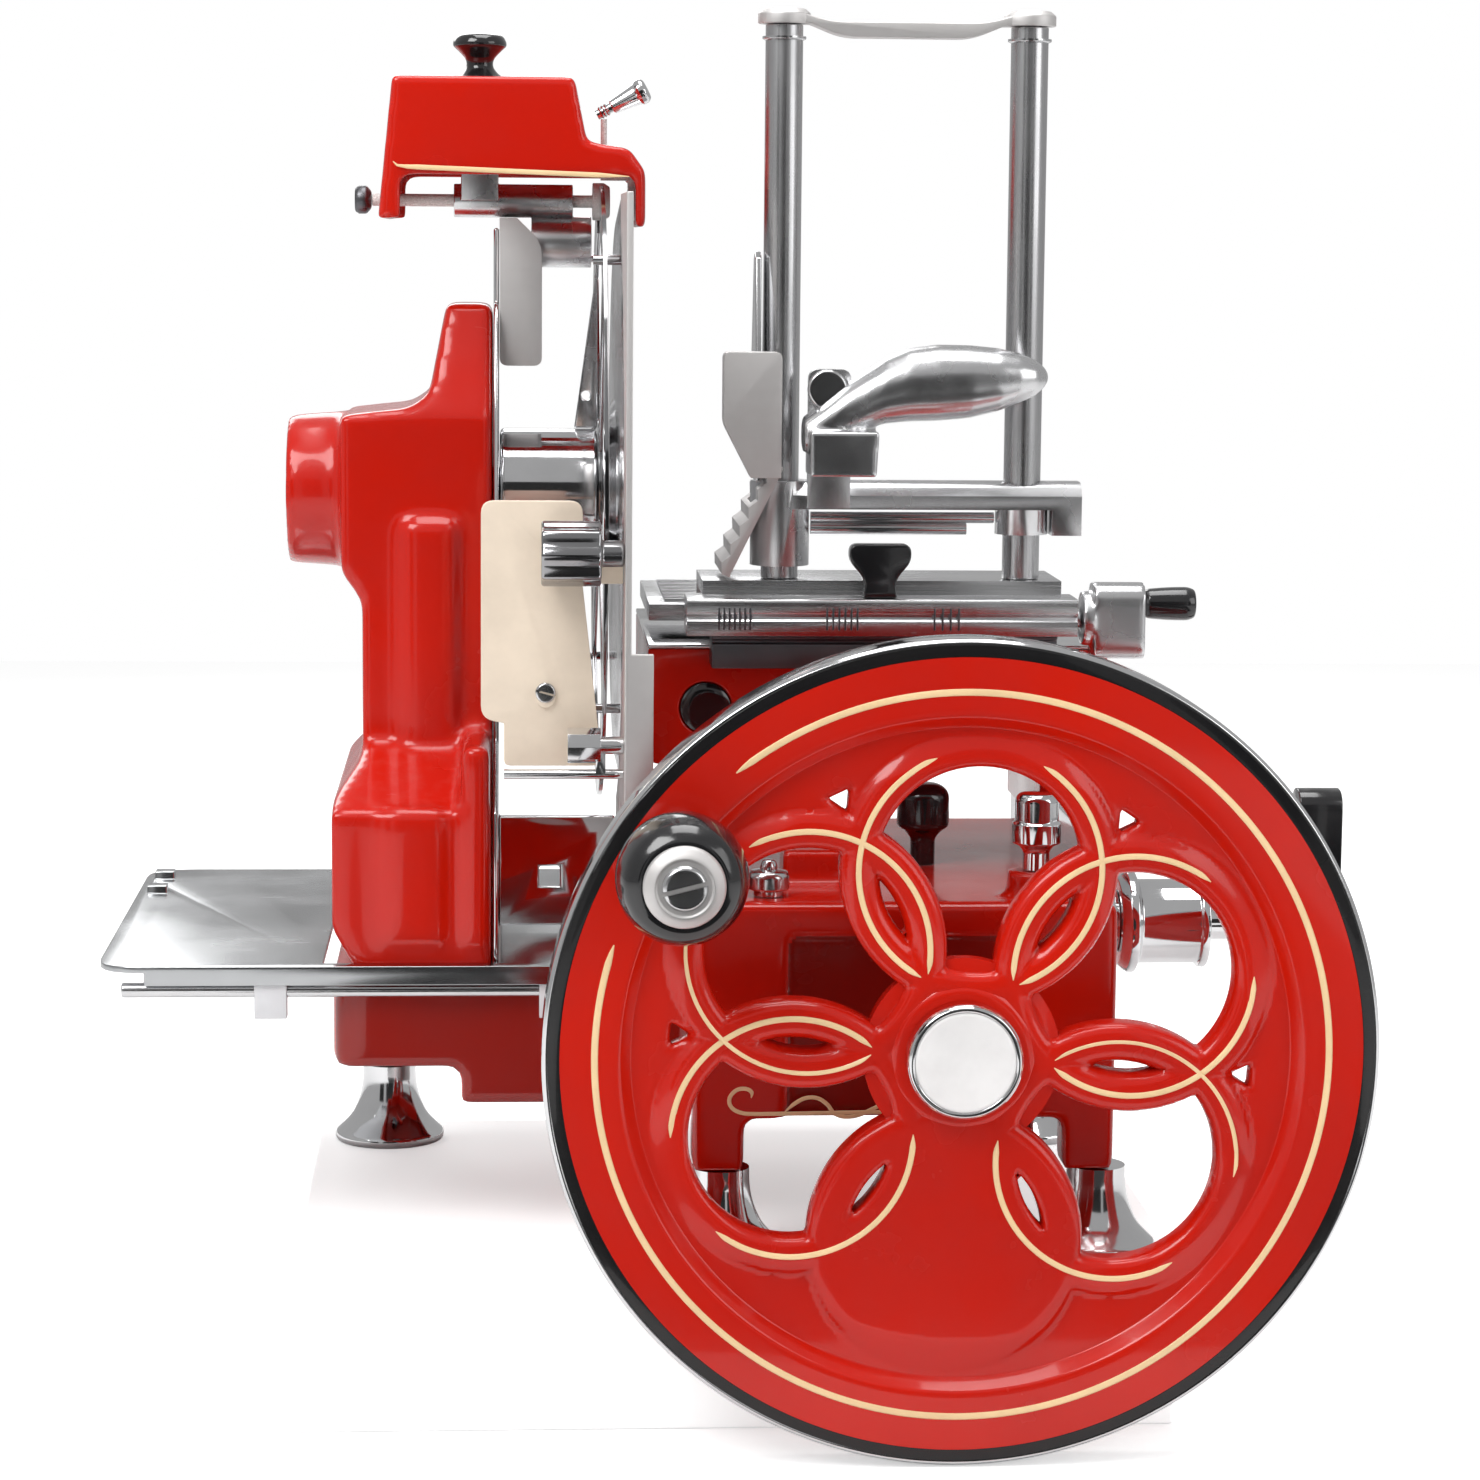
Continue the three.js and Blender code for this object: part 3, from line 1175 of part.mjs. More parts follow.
const gauge = new THREE.Group();
slicer.add(gauge);
piece(gauge, 'gauge_plate', gaugePlate(), CHROME);
piece(slicer, 'thickness_dial', thicknessDial(), STEEL);
piece(slicer, 'thickness_barrel', thicknessBarrel(), STEEL);

// Slice deflector on the gauge plate, with its knob and the rod below
const DEFLECTOR_BACK = DEFLECTOR_Y + DEFLECTOR_THICK;
const SCREW_X = -81;
const SCREW_Z = 258.5;
const SCREW_RADIUS = 4.4;
const KNOB_AXLE_END = GAUGE_LEFT - SEAT_GAP;

function deflectorPlate() {
  const plate = pushed(outline([
    [DEFLECTOR_LEFT, DEFLECTOR_STEP_Z, DEFLECTOR_CORNER],
    [DEFLECTOR_STEP_X, DEFLECTOR_STEP_Z - DEFLECTOR_CORNER / 3],
    [DEFLECTOR_STEP_X, DEFLECTOR_BOTTOM, DEFLECTOR_CORNER / 2],
    [DEFLECTOR_LOW_RIGHT, DEFLECTOR_BOTTOM, DEFLECTOR_CORNER / 2],
    [DEFLECTOR_LOW_RIGHT, DEFLECTOR_STEP_Z - DEFLECTOR_CORNER],
    [DEFLECTOR_TOP_RIGHT, DEFLECTOR_WAIST],
    [DEFLECTOR_TOP_RIGHT, DEFLECTOR_TOP, DEFLECTOR_CORNER],
    [DEFLECTOR_LEFT, DEFLECTOR_TOP, DEFLECTOR_CORNER],
  ]), 'y', DEFLECTOR_Y, DEFLECTOR_BACK);
  const tab = block(
    [DEFLECTOR_TOP_RIGHT - DEFLECTOR_CORNER, DEFLECTOR_Y, KNOB_Z - KNOB_RADIUS],
    [GAUGE_LEFT - SEAT_GAP, DEFLECTOR_BACK, KNOB_Z - KNOB_AXLE_RADIUS],
  );
  const screwHead = rod('y', [SCREW_X, DEFLECTOR_Y - DEFLECTOR_THICK / 2, SCREW_Z],
    SCREW_RADIUS, DEFLECTOR_THICK);
  return join(plate, tab, screwHead);
}

function lobedKnob() {
  const shape = new THREE.Shape();
  const steps = KNOB_LOBES * 4;
  for (let step = 0; step < steps; step += 1) {
    const angle = (step / steps) * Math.PI * 2;
    const reach = KNOB_RADIUS - (KNOB_LOBE_DEPTH * (1 - Math.cos(angle * KNOB_LOBES))) / 2;
    const y = KNOB_Y + Math.cos(angle) * reach;
    const z = KNOB_Z + Math.sin(angle) * reach;
    if (step === 0) shape.moveTo(y, z);
    else shape.lineTo(y, z);
  }
  shape.closePath();
  const head = pushed(shape, 'x', KNOB_LEFT, KNOB_RIGHT);
  const axle = rod('x', [KNOB_RIGHT - CUT_OVER, KNOB_Y, KNOB_Z],
    KNOB_AXLE_RADIUS, KNOB_AXLE_END - KNOB_RIGHT + CUT_OVER);
  return join(head, axle);
}

function deflectorRod() {
  const nutLength = KNOB_RIGHT - KNOB_LEFT - DEFLECTOR_CORNER * 2;
  const nut = rod('x', [KNOB_RIGHT - nutLength, KNOB_Y, NUT_Z], NUT_RADIUS, nutLength, NUT_SIDES);
  const stud = rod('x', [KNOB_RIGHT - CUT_OVER, KNOB_Y, NUT_Z],
    NUT_RADIUS / 2, KNOB_AXLE_END - KNOB_RIGHT + CUT_OVER);
  const bar = rod('x', [DEFLECTOR_STEP_X, KNOB_Y, ROD_Z], ROD_RADIUS, KNOB_AXLE_END - DEFLECTOR_STEP_X);
  const link = block(
    [KNOB_RIGHT - ROD_RADIUS, KNOB_Y - ROD_RADIUS, ROD_Z],
    [KNOB_RIGHT + ROD_RADIUS, KNOB_Y + ROD_RADIUS, NUT_Z],
  );
  return join(nut, stud, bar, link);
}

piece(gauge, 'deflector_plate', deflectorPlate(), CREAM);
piece(gauge, 'deflector_knob', lobedKnob(), STEEL);
piece(gauge, 'deflector_rod', deflectorRod(), CHROME);

// Sharpener: a bracket on the strap, a body tube, the hood over it and two stones
const BRACKET_SIDE = SIDE_PLATE_RIGHT + SEAT_GAP;
const BRACKET_HALF = 20;
const BODY_BOTTOM = BODY_Z - BODY_RADIUS;
const SPINDLE_RADIUS = 3;
const PEDESTAL_HALF = 9;
const PEDESTAL_TOP = COVER_TOP - COVER_WALL - SEAT_GAP;
const LEVER_X = -52;
const LEVER_STEM_RADIUS = 1.5;
const HONING_TRAVEL = 2;
const BUTTON_STEM = 4;
const LEVER_BASE_Z = 523;
const LEVER_TILT = 22.8;
const COVER_OUTLINE = [
  [COVER_LEFT, COVER_LEFT_SKIRT],
  [COVER_RIGHT, COVER_RIGHT_SKIRT],
  [COVER_RIGHT, COVER_EDGE + COVER_WALL],
  [COVER_RIGHT - COVER_WALL * 2.6, COVER_EDGE + COVER_WALL * 4.6],
  [COVER_RIGHT - COVER_WALL * 9.3, COVER_EDGE + COVER_WALL * 5.6],
  [COVER_RIGHT - COVER_WALL * 11.3, COVER_TOP],
  [COVER_LEFT + COVER_WALL * 2.3, COVER_TOP],
];

function sharpenerCover() {
  const outer = pushed(outline(COVER_OUTLINE), 'y', COVER_FRONT, COVER_REAR);
  const hollow = pushed(outline(inset(COVER_OUTLINE, COVER_WALL)),
    'y', COVER_FRONT + COVER_WALL, COVER_REAR - COVER_WALL);
  const mouth = block(
    [COVER_LEFT + COVER_WALL * 2, COVER_FRONT + COVER_WALL, COVER_RIGHT_SKIRT - CUT_OVER],
    [COVER_RIGHT - COVER_WALL, COVER_REAR - COVER_WALL, COVER_EDGE + COVER_WALL],
  );
  const window = block(
    [COVER_LEFT + COVER_WALL * 4, COVER_FRONT - CUT_OVER, COVER_RIGHT_SKIRT - CUT_OVER],
    [COVER_RIGHT - COVER_WALL * 2, COVER_REAR + CUT_OVER, COVER_EDGE],
  );
  const buttonHole = rod('x', [COVER_LEFT - CUT_OVER, BLADE_Y, BODY_Z],
    SPINDLE_RADIUS + RUN_GAP * 2, COVER_WALL * 5);
  const slotHalf = LEVER_STEM_RADIUS + RUN_GAP;
  const stemHole = block(
    [LEVER_X - slotHalf - HONING_TRAVEL, BLADE_Y - slotHalf, COVER_EDGE],
    [LEVER_X + slotHalf, BLADE_Y + slotHalf, COVER_TOP],
  );
  const screwHole = rod('z', [SPOOL_X, BLADE_Y, COVER_TOP - COVER_WALL - CUT_OVER],
    SPOOL_WAIST + SEAT_GAP, COVER_WALL + CUT_OVER * 2);
  return cut(outer, hollow, mouth, window, buttonHole, stemHole, screwHole);
}

function coverKnob() {
  const bottom = COVER_TOP - COVER_WALL;
  const flange = COVER_TOP + SEAT_GAP;
  const top = COVER_TOP + SPOOL_HEIGHT;
  const profile = [
    [0, bottom],
    [SPOOL_WAIST, bottom],
    [SPOOL_WAIST, flange],
    [SPOOL_RADIUS * 0.9, flange],
    [SPOOL_RADIUS * 0.5, flange + SPOOL_HEIGHT * 0.22],
    [SPOOL_WAIST, flange + SPOOL_HEIGHT * 0.5],
    [SPOOL_RADIUS * 0.7, top - SPOOL_HEIGHT * 0.25],
    [SPOOL_RADIUS, top - SPOOL_HEIGHT * 0.14],
    [SPOOL_RADIUS, top],
    [0, top],
  ];
  return turned(profile, 'z', [SPOOL_X, BLADE_Y, 0]);
}

function sharpenerBody() {
  const tube = rod('x', [BODY_LEFT, BLADE_Y, BODY_Z], BODY_RADIUS, BODY_RIGHT - STONE_THICK - BODY_LEFT);
  const pedestal = block(
    [SPOOL_X - PEDESTAL_HALF, BLADE_Y - PEDESTAL_HALF, BODY_Z],
    [SPOOL_X + PEDESTAL_HALF, BLADE_Y + PEDESTAL_HALF, PEDESTAL_TOP],
  );
  const lower = rod('x', [SECOND_LEFT, BLADE_Y, SECOND_Z], SECOND_RADIUS, BODY_RIGHT - SECOND_LEFT);
  const bore = rod('x', [BODY_LEFT - CUT_OVER, BLADE_Y, BODY_Z],
    SPINDLE_RADIUS + RUN_GAP, BODY_RIGHT - BODY_LEFT + CUT_OVER * 2);
  return cut(join(tube, pedestal, lower), bore);
}

function sharpenerBracket() {
  const curve = SHARPENER_BRACKET_RIGHT - BRACKET_SIDE;
  const top = SECOND_Z - SEAT_GAP;
  const seat = rod('x', [SECOND_LEFT - SEAT_GAP, BLADE_Y, SECOND_Z], SECOND_RADIUS + SEAT_GAP, curve);
  const plate = pushed(outline([
    [BRACKET_SIDE, SHARPENER_BRACKET_BOTTOM, curve / 5],
    [SHARPENER_BRACKET_RIGHT, SHARPENER_BRACKET_BOTTOM, curve / 5],
    [SHARPENER_BRACKET_RIGHT, top, curve / 3],
    [SPOOL_X + PEDESTAL_HALF * 2, BODY_BOTTOM - SEAT_GAP],
    [BRACKET_SIDE, BODY_BOTTOM - SEAT_GAP],
  ]), 'y', BLADE_Y - BRACKET_HALF, BLADE_Y + BRACKET_HALF);
  return cut(plate, seat);
}

function grindingStone() {
  const left = BODY_RIGHT + RUN_GAP;
  const right = BODY_RIGHT + STONE_THICK;
  const disc = turned([
    [0, left], [STONE_RADIUS, left], [STONE_RADIUS, right - STONE_THICK / 3],
    [STONE_RADIUS * 0.8, right], [0, right],
  ], 'x', [0, BLADE_Y, BODY_Z]);
  const start = COVER_LEFT - BUTTON_STEM;
  return join(disc, rod('x', [start, BLADE_Y, BODY_Z], SPINDLE_RADIUS, left + STONE_THICK / 3 - start));
}

function stoneButton() {
  const right = COVER_LEFT - BUTTON_STEM - SEAT_GAP;
  const left = right - BODY_RADIUS;
  return turned([
    [0, left], [BODY_RADIUS * 0.7, left], [BODY_RADIUS * 0.85, left + BODY_RADIUS * 0.25],
    [BODY_RADIUS * 0.85, right - BODY_RADIUS * 0.3], [BODY_RADIUS * 0.5, right], [0, right],
  ], 'x', [0, BLADE_Y, BODY_Z]);
}

function honingStone() {
  const left = BLADE_FACE + HONING_TRAVEL + RUN_GAP;
  const right = COVER_RIGHT - COVER_WALL - RUN_GAP;
  const centreZ = BODY_Z - STONE_RADIUS * 0.3;
  const disc = rod('x', [left, BLADE_Y, centreZ], STONE_RADIUS * 0.7, right - left);
  const top = BODY_Z + STONE_RADIUS + RUN_GAP * 2 + LEVER_STEM_RADIUS * 2;
  const half = LEVER_STEM_RADIUS;
  const riser = block([left, BLADE_Y - half, centreZ], [right, BLADE_Y + half, top]);
  const reach = block([LEVER_X - half, BLADE_Y - half, top - half * 2], [right, BLADE_Y + half, top]);
  const stem = rod('z', [LEVER_X, BLADE_Y, top - half], half, LEVER_BASE_Z - top + half - SEAT_GAP);
  return join(disc, riser, reach, stem);
}

function stoneLever() {
  const profile = [
    [0, -LEVER_LENGTH * 0.12],
    [LEVER_RADIUS * 0.5, -LEVER_LENGTH * 0.12],
    [LEVER_RADIUS * 0.5, LEVER_LENGTH * 0.2],
    [LEVER_RADIUS, LEVER_LENGTH * 0.72],
    [LEVER_RADIUS, LEVER_LENGTH * 0.8],
    [0, LEVER_LENGTH * 0.8],
  ];
  const leaned = turned(profile, 'x', [0, 0, 0]).rotate([0, -LEVER_TILT, 0]);
  return leaned.translate([LEVER_X, BLADE_Y, LEVER_BASE_Z + LEVER_RADIUS * 0.7]);
}

piece(slicer, 'sharpener_cover', sharpenerCover(), RED);
piece(slicer, 'cover_knob', coverKnob(), BLACK);
piece(slicer, 'sharpener_body', sharpenerBody(), CHROME);
piece(slicer, 'sharpener_bracket', sharpenerBracket(), ALUMINIUM);
piece(slicer, 'grinding_stone', grindingStone(), STONE);
piece(slicer, 'stone_button', stoneButton(), DARK_STEEL);
piece(slicer, 'honing_stone', honingStone(), STONE);
piece(slicer, 'stone_lever', stoneLever(), CHROME);

// Oilers and the knob on the base
const OILER_FOOT = BASE_TOP + OILER_BOSS_HEIGHT + SEAT_GAP;

function oilCup() {
  const profile = [
    [0, 0],
    [OILER_RADIUS, 0],
    [OILER_RADIUS, OILER_HEIGHT * 0.06],
    [OILER_RADIUS * 0.8, OILER_HEIGHT * 0.45],
    [OILER_RADIUS * 0.78, OILER_HEIGHT * 0.5],
    [OILER_RADIUS * 0.96, OILER_HEIGHT * 0.55],
    [OILER_RADIUS * 0.96, OILER_HEIGHT * 0.68],
    [OILER_RADIUS * 0.8, OILER_HEIGHT * 0.74],
    [OILER_RADIUS * 0.8, OILER_HEIGHT],
    [0, OILER_HEIGHT],
  ];
  return turned(profile, 'z', [OILER_X, OILER_Y, OILER_FOOT]);
}

function oilDome() {
  const ring = DOME_HEIGHT * 0.2;
  const profile = [
    [0, 0],
    [DOME_RADIUS, 0],
    [DOME_RADIUS, ring],
    [DOME_RADIUS * 0.88, ring],
    [DOME_RADIUS * 0.8, DOME_HEIGHT * 0.62],
    [DOME_RADIUS * 0.45, DOME_HEIGHT * 0.94],
    [0, DOME_HEIGHT],
  ];
  return turned(profile, 'z', [DOME_X, OILER_Y, BASE_TOP + SEAT_GAP]);
}

function rearOiler() {
  const height = CARRIAGE_BOTTOM - BASE_TOP - REAR_OILER_RADIUS;
  const profile = [
    [0, 0],
    [REAR_OILER_RADIUS, 0],
    [REAR_OILER_RADIUS, height * 0.3],
    [REAR_OILER_RADIUS * 0.85, height * 0.36],
    [REAR_OILER_RADIUS * 0.98, height * 0.5],
    [REAR_OILER_RADIUS * 0.98, height * 0.75],
    [REAR_OILER_RADIUS * 0.6, height * 0.82],
    [REAR_OILER_RADIUS * 0.55, height],
    [0, height],
  ];
  return turned(profile, 'z', [REAR_OILER_X, REAR_OILER_Y, BASE_TOP + SEAT_GAP]);
}

piece(slicer, 'oiler_front_right', oilCup(), CHROME);
piece(slicer, 'oiler_front_left', oilDome(), DARK_STEEL);
piece(slicer, 'oiler_rear', rearOiler(), BLACK);

// Slide rails on the base
function slideRail(x) {
  return pushed(outline([
    [x - RAIL_HALF, BASE_TOP + SEAT_GAP],
    [x + RAIL_HALF, BASE_TOP + SEAT_GAP],
    [x + RAIL_HALF, RAIL_TOP, RAIL_HALF / 2],
    [x - RAIL_HALF, RAIL_TOP, RAIL_HALF / 2],
  ]), 'y', BASE_FRONT + RAIL_END, BASE_REAR - RAIL_END);
}

piece(slicer, 'slide_rail_left', slideRail(RAIL_LEFT_X), CHROME);
piece(slicer, 'slide_rail_right', slideRail(RAIL_RIGHT_X), CHROME);

// Carriage: a red shell on two runners, its chromed top and the button in front
const carriage = new THREE.Group();
slicer.add(carriage);

function runner(x) {
  const outer = block(
    [x - RAIL_HALF - RUN_GAP - RUNNER_WALL, RUNNER_FRONT, RUNNER_BOTTOM],
    [x + RAIL_HALF + RUN_GAP + RUNNER_WALL, RUNNER_REAR, CARRIAGE_BOTTOM + CARRIAGE_WALL / 2],
  );
  const groove = block(
    [x - RAIL_HALF - RUN_GAP, RUNNER_FRONT - CUT_OVER, RUNNER_BOTTOM - CUT_OVER],
    [x + RAIL_HALF + RUN_GAP, RUNNER_REAR + CUT_OVER, RAIL_TOP + RUN_GAP],
  );
  return cut(outer, groove);
}

function carriageFrame() {
  const outer = pushed(outline([
    [CARRIAGE_LEFT, CARRIAGE_BOTTOM, CARRIAGE_WALL],
    [CARRIAGE_RIGHT, CARRIAGE_BOTTOM, CARRIAGE_WALL],
    [CARRIAGE_RIGHT, CARRIAGE_TOP],
    [CARRIAGE_LEFT, CARRIAGE_TOP],
  ]), 'y', CARRIAGE_FRONT, CARRIAGE_REAR);
  const hollow = block(
    [CARRIAGE_LEFT + CARRIAGE_WALL, CARRIAGE_FRONT + CARRIAGE_WALL, CARRIAGE_BOTTOM + CARRIAGE_WALL],
    [CARRIAGE_RIGHT - CARRIAGE_WALL, CARRIAGE_REAR - CARRIAGE_WALL, CARRIAGE_TOP + CUT_OVER],
  );
  const recess = rod('y', [BUTTON_X, CARRIAGE_FRONT - CUT_OVER, BUTTON_Z],
    BUTTON_RADIUS, CUT_OVER + BUTTON_PROUD * 2, FINE);
  return join(cut(outer, hollow, recess), runner(RAIL_LEFT_X), runner(RAIL_RIGHT_X));
}

function carriagePlate() {
  const bottom = CARRIAGE_TOP + SEAT_GAP;
  return block(
    [CARRIAGE_LEFT, CARRIAGE_FRONT, bottom],
    [CARRIAGE_RIGHT, CARRIAGE_REAR, bottom + CARRIAGE_PLATE_THICK],
  );
}

function carriageButton() {
  const radius = BUTTON_RADIUS - SEAT_GAP;
  const back = CARRIAGE_FRONT + BUTTON_PROUD * 2 - SEAT_GAP;
  const front = CARRIAGE_FRONT - BUTTON_PROUD;
  return turned([
    [0, front + BUTTON_PROUD], [radius * 0.78, front + BUTTON_PROUD], [radius * 0.84, front],
    [radius * 0.96, front], [radius, front + BUTTON_PROUD / 2], [radius, back], [0, back],
  ], 'y', [BUTTON_X, 0, BUTTON_Z], FINE);
}

piece(carriage, 'carriage_frame', carriageFrame(), RED);
piece(carriage, 'carriage_plate', carriagePlate(), CHROME);
piece(carriage, 'carriage_button', carriageButton(), BLACK);

// Feed table: the guide on the carriage and the table that slides on it
const GUIDE_TOP = TABLE_BOTTOM - SEAT_GAP;
const GUIDE_REAR = CARRIAGE_FRONT - SEAT_GAP;
const GROOVE_HEIGHT = 2;
const BAND_WALL = 5;
const DECK_BOTTOM = TABLE_BOTTOM;

function tableRail() {
  const body = block([GUIDE_LEFT, GUIDE_FRONT, GUIDE_BOTTOM], [GUIDE_RIGHT, GUIDE_REAR, GUIDE_TOP]);
  const groove = block(
    [GUIDE_LEFT - CUT_OVER, GUIDE_FRONT - CUT_OVER, GUIDE_TOP - GROOVE_HEIGHT * 2],
    [GUIDE_RIGHT + CUT_OVER, GUIDE_FRONT + GROOVE_HEIGHT, GUIDE_TOP - GROOVE_HEIGHT],
  );
  return cut(body, groove);
}

function feedTable() {
  const strip = pushed(outline([
    [TABLE_FRONT, TABLE_BOTTOM],
    [STRIP_REAR, TABLE_BOTTOM],
    [STRIP_REAR, STRIP_TOP],
    [TABLE_FRONT, STRIP_TOP, DOVETAIL_DEPTH / 2],
    [TABLE_FRONT, (TABLE_BOTTOM + STRIP_TOP) / 2 + GROOVE_HEIGHT],
    [TABLE_FRONT + GROOVE_HEIGHT, (TABLE_BOTTOM + STRIP_TOP) / 2],
    [TABLE_FRONT, (TABLE_BOTTOM + STRIP_TOP) / 2 - GROOVE_HEIGHT],
  ]), 'x', TABLE_LEFT, TABLE_RIGHT);
  const screwBore = rod('x', [TABLE_LEFT - CUT_OVER, CRANK_AXIS_Y, CRANK_AXIS_Z],
    FEED_SCREW_RADIUS + RUN_GAP, TABLE_RIGHT - TABLE_LEFT + CUT_OVER * 2);
  const band = block([BAND_LEFT, BAND_FRONT, STRIP_TOP - GROOVE_HEIGHT], [BAND_RIGHT, BAND_REAR, BAND_TOP]);
  const bandRoom = block(
    [BAND_LEFT - CUT_OVER, STRIP_REAR, STRIP_TOP - GROOVE_HEIGHT - CUT_OVER],
    [BAND_RIGHT + CUT_OVER, BAND_REAR - BAND_WALL, STRIP_TOP],
  );
  const step = block(
    [BAND_LEFT, BAND_REAR - BAND_WALL, DECK_BOTTOM],
    [BAND_RIGHT, BAND_REAR, STRIP_TOP + GROOVE_HEIGHT],
  );
  const deck = block([DECK_LEFT, BAND_REAR - BAND_WALL, DECK_BOTTOM], [BAND_RIGHT, DECK_REAR, DECK_TOP]);
  const ridges = [];
  for (let y = BAND_REAR + RIDGE_STEP; y < DECK_REAR - RIDGE_STEP; y += RIDGE_STEP) {
    ridges.push(block(
      [DECK_LEFT + RIDGE_STEP, y, DECK_TOP - RIDGE_HEIGHT],
      [BAND_RIGHT - RIDGE_STEP, y + RIDGE_HEIGHT, DECK_TOP + RIDGE_HEIGHT],
    ));
  }
  return join(cut(strip, screwBore), cut(band, bandRoom), step, deck, ...ridges);
}

const table = new THREE.Group();
carriage.add(table);
piece(carriage, 'table_rail', tableRail(), DARK_STEEL);
piece(table, 'feed_table', feedTable(), ALUMINIUM);

// Feed crank at the table's end: a screw, a collar, a cast arm and its grip
const GRIP_AXIS_Z = CRANK_AXIS_Z + FEED_GRIP_OFFSET / 2;

function feedCrank() {
  const collarRadius = FEED_ARM_RADIUS * 0.76;
  const half = FEED_ARM_RADIUS * 0.7;
  const screwStart = TABLE_LEFT + DOVETAIL_DEPTH;
  const profile = [
    [0, screwStart],
    [FEED_SCREW_RADIUS, screwStart],
    [FEED_SCREW_RADIUS, FEED_COLLAR_LEFT],
    [collarRadius, FEED_COLLAR_LEFT],
    [collarRadius, FEED_ARM_LEFT],
    [FEED_ARM_RADIUS * 0.6, FEED_ARM_LEFT],
    [FEED_ARM_RADIUS * 0.6, FEED_ARM_LEFT + GROOVE_HEIGHT],
    [0, FEED_ARM_LEFT + GROOVE_HEIGHT],
  ];
  const screw = turned(profile, 'x', [0, CRANK_AXIS_Y, CRANK_AXIS_Z]);
  const arm = pushed(outline([
    [CRANK_AXIS_Y - half, CRANK_AXIS_Z - FEED_ARM_RADIUS * 1.1, half * 0.7],
    [CRANK_AXIS_Y + half, CRANK_AXIS_Z - FEED_ARM_RADIUS * 1.1, half * 0.7],
    [CRANK_AXIS_Y + half, CRANK_AXIS_Z + FEED_ARM_RADIUS, half * 0.8],
    [CRANK_AXIS_Y - half, CRANK_AXIS_Z + FEED_ARM_RADIUS, half * 0.8],
  ]), 'x', FEED_ARM_LEFT, FEED_ARM_RIGHT);
  const gripSeat = rod('x', [FEED_ARM_RIGHT - FEED_SCREW_RADIUS * 2, CRANK_AXIS_Y, GRIP_AXIS_Z],
    FEED_SCREW_RADIUS / 2, FEED_GRIP_END - FEED_ARM_RIGHT + FEED_SCREW_RADIUS);
  return join(screw, arm, gripSeat);
}

function feedGrip() {
  const left = FEED_ARM_RIGHT + SEAT_GAP;
  const inner = FEED_SCREW_RADIUS / 2 + RUN_GAP;
  return turned([
    [inner, left],
    [FEED_GRIP_RADIUS * 0.7, left],
    [FEED_GRIP_RADIUS, left + FEED_GRIP_RADIUS],
    [FEED_GRIP_RADIUS, FEED_GRIP_END - FEED_GRIP_RADIUS / 2],
    [FEED_GRIP_RADIUS * 0.8, FEED_GRIP_END],
    [inner, FEED_GRIP_END],
    [inner, left],
  ], 'x', [0, CRANK_AXIS_Y, GRIP_AXIS_Z]);
}

piece(table, 'feed_crank', feedCrank(), ALUMINIUM);
piece(table, 'feed_grip', feedGrip(), BLACK);

// Posts, the bar across them and the lock knob
const POST_FOOT = BAND_TOP + SEAT_GAP;

function post(x) {
  const top = BAR_TOP - BAR_THICK - SEAT_GAP;
  return turned([
    [0, POST_FOOT], [POST_RADIUS, POST_FOOT], [POST_RADIUS, top - POST_RADIUS / 5],
    [POST_RADIUS * 0.8, top], [0, top],
  ], 'z', [x, POST_Y, 0]);
}

function topBar() {
  const low = BAR_TOP - BAR_THICK;
  const spread = BAR_CAP_RADIUS * 1.1;
  const middle = pushed(outline([
    [POST_LEFT_X, low],
    [POST_LEFT_X + BAR_CAP_RADIUS, low],
    [POST_LEFT_X + spread * 2, low - BAR_DROP, spread / 2],
    [POST_RIGHT_X - spread * 2, low - BAR_DROP, spread / 2],
    [POST_RIGHT_X - BAR_CAP_RADIUS, low],
    [POST_RIGHT_X, low],
    [POST_RIGHT_X, BAR_TOP],
    [POST_RIGHT_X - spread * 1.6, BAR_TOP - BAR_DROP, spread / 2],
    [POST_LEFT_X + spread * 1.6, BAR_TOP - BAR_DROP, spread / 2],
    [POST_LEFT_X, BAR_TOP],
  ]), 'y', POST_Y - BAR_WIDTH / 2, POST_Y + BAR_WIDTH / 2);
  const caps = [POST_LEFT_X, POST_RIGHT_X].map((x) => turned([
    [0, low], [BAR_CAP_RADIUS, low], [BAR_CAP_RADIUS, BAR_TOP - BAR_THICK * 0.3],
    [BAR_CAP_RADIUS * 0.8, BAR_TOP], [0, BAR_TOP],
  ], 'z', [x, POST_Y, 0]));
  return join(middle, ...caps);
}

function lockKnob() {
  const foot = STRIP_TOP + SEAT_GAP;
  const waist = foot + LOCK_HEIGHT * 0.3;
  const head = foot + LOCK_HEIGHT * 0.68;
  const top = foot + LOCK_HEIGHT;
  return pushed(outline([
    [LOCK_X - LOCK_STEM_HALF, foot],
    [LOCK_X + LOCK_STEM_HALF, foot],
    [LOCK_X + LOCK_STEM_HALF * 0.82, waist, LOCK_STEM_HALF * 0.6],
    [LOCK_X + LOCK_HEAD_HALF, head, LOCK_STEM_HALF * 0.4],
    [LOCK_X + LOCK_HEAD_HALF, top, LOCK_STEM_HALF * 0.5],
    [LOCK_X - LOCK_HEAD_HALF, top, LOCK_STEM_HALF * 0.5],
    [LOCK_X - LOCK_HEAD_HALF, head, LOCK_STEM_HALF * 0.4],
    [LOCK_X - LOCK_STEM_HALF * 0.82, waist, LOCK_STEM_HALF * 0.6],
  ]), 'y', LOCK_Y - LOCK_DEPTH / 2, LOCK_Y + LOCK_DEPTH / 2);
}

piece(table, 'post_left', post(POST_LEFT_X), STEEL);
piece(table, 'post_right', post(POST_RIGHT_X), STEEL);
piece(table, 'top_bar', topBar(), CHROME);
piece(table, 'lock_knob', lockKnob(), BLACK);

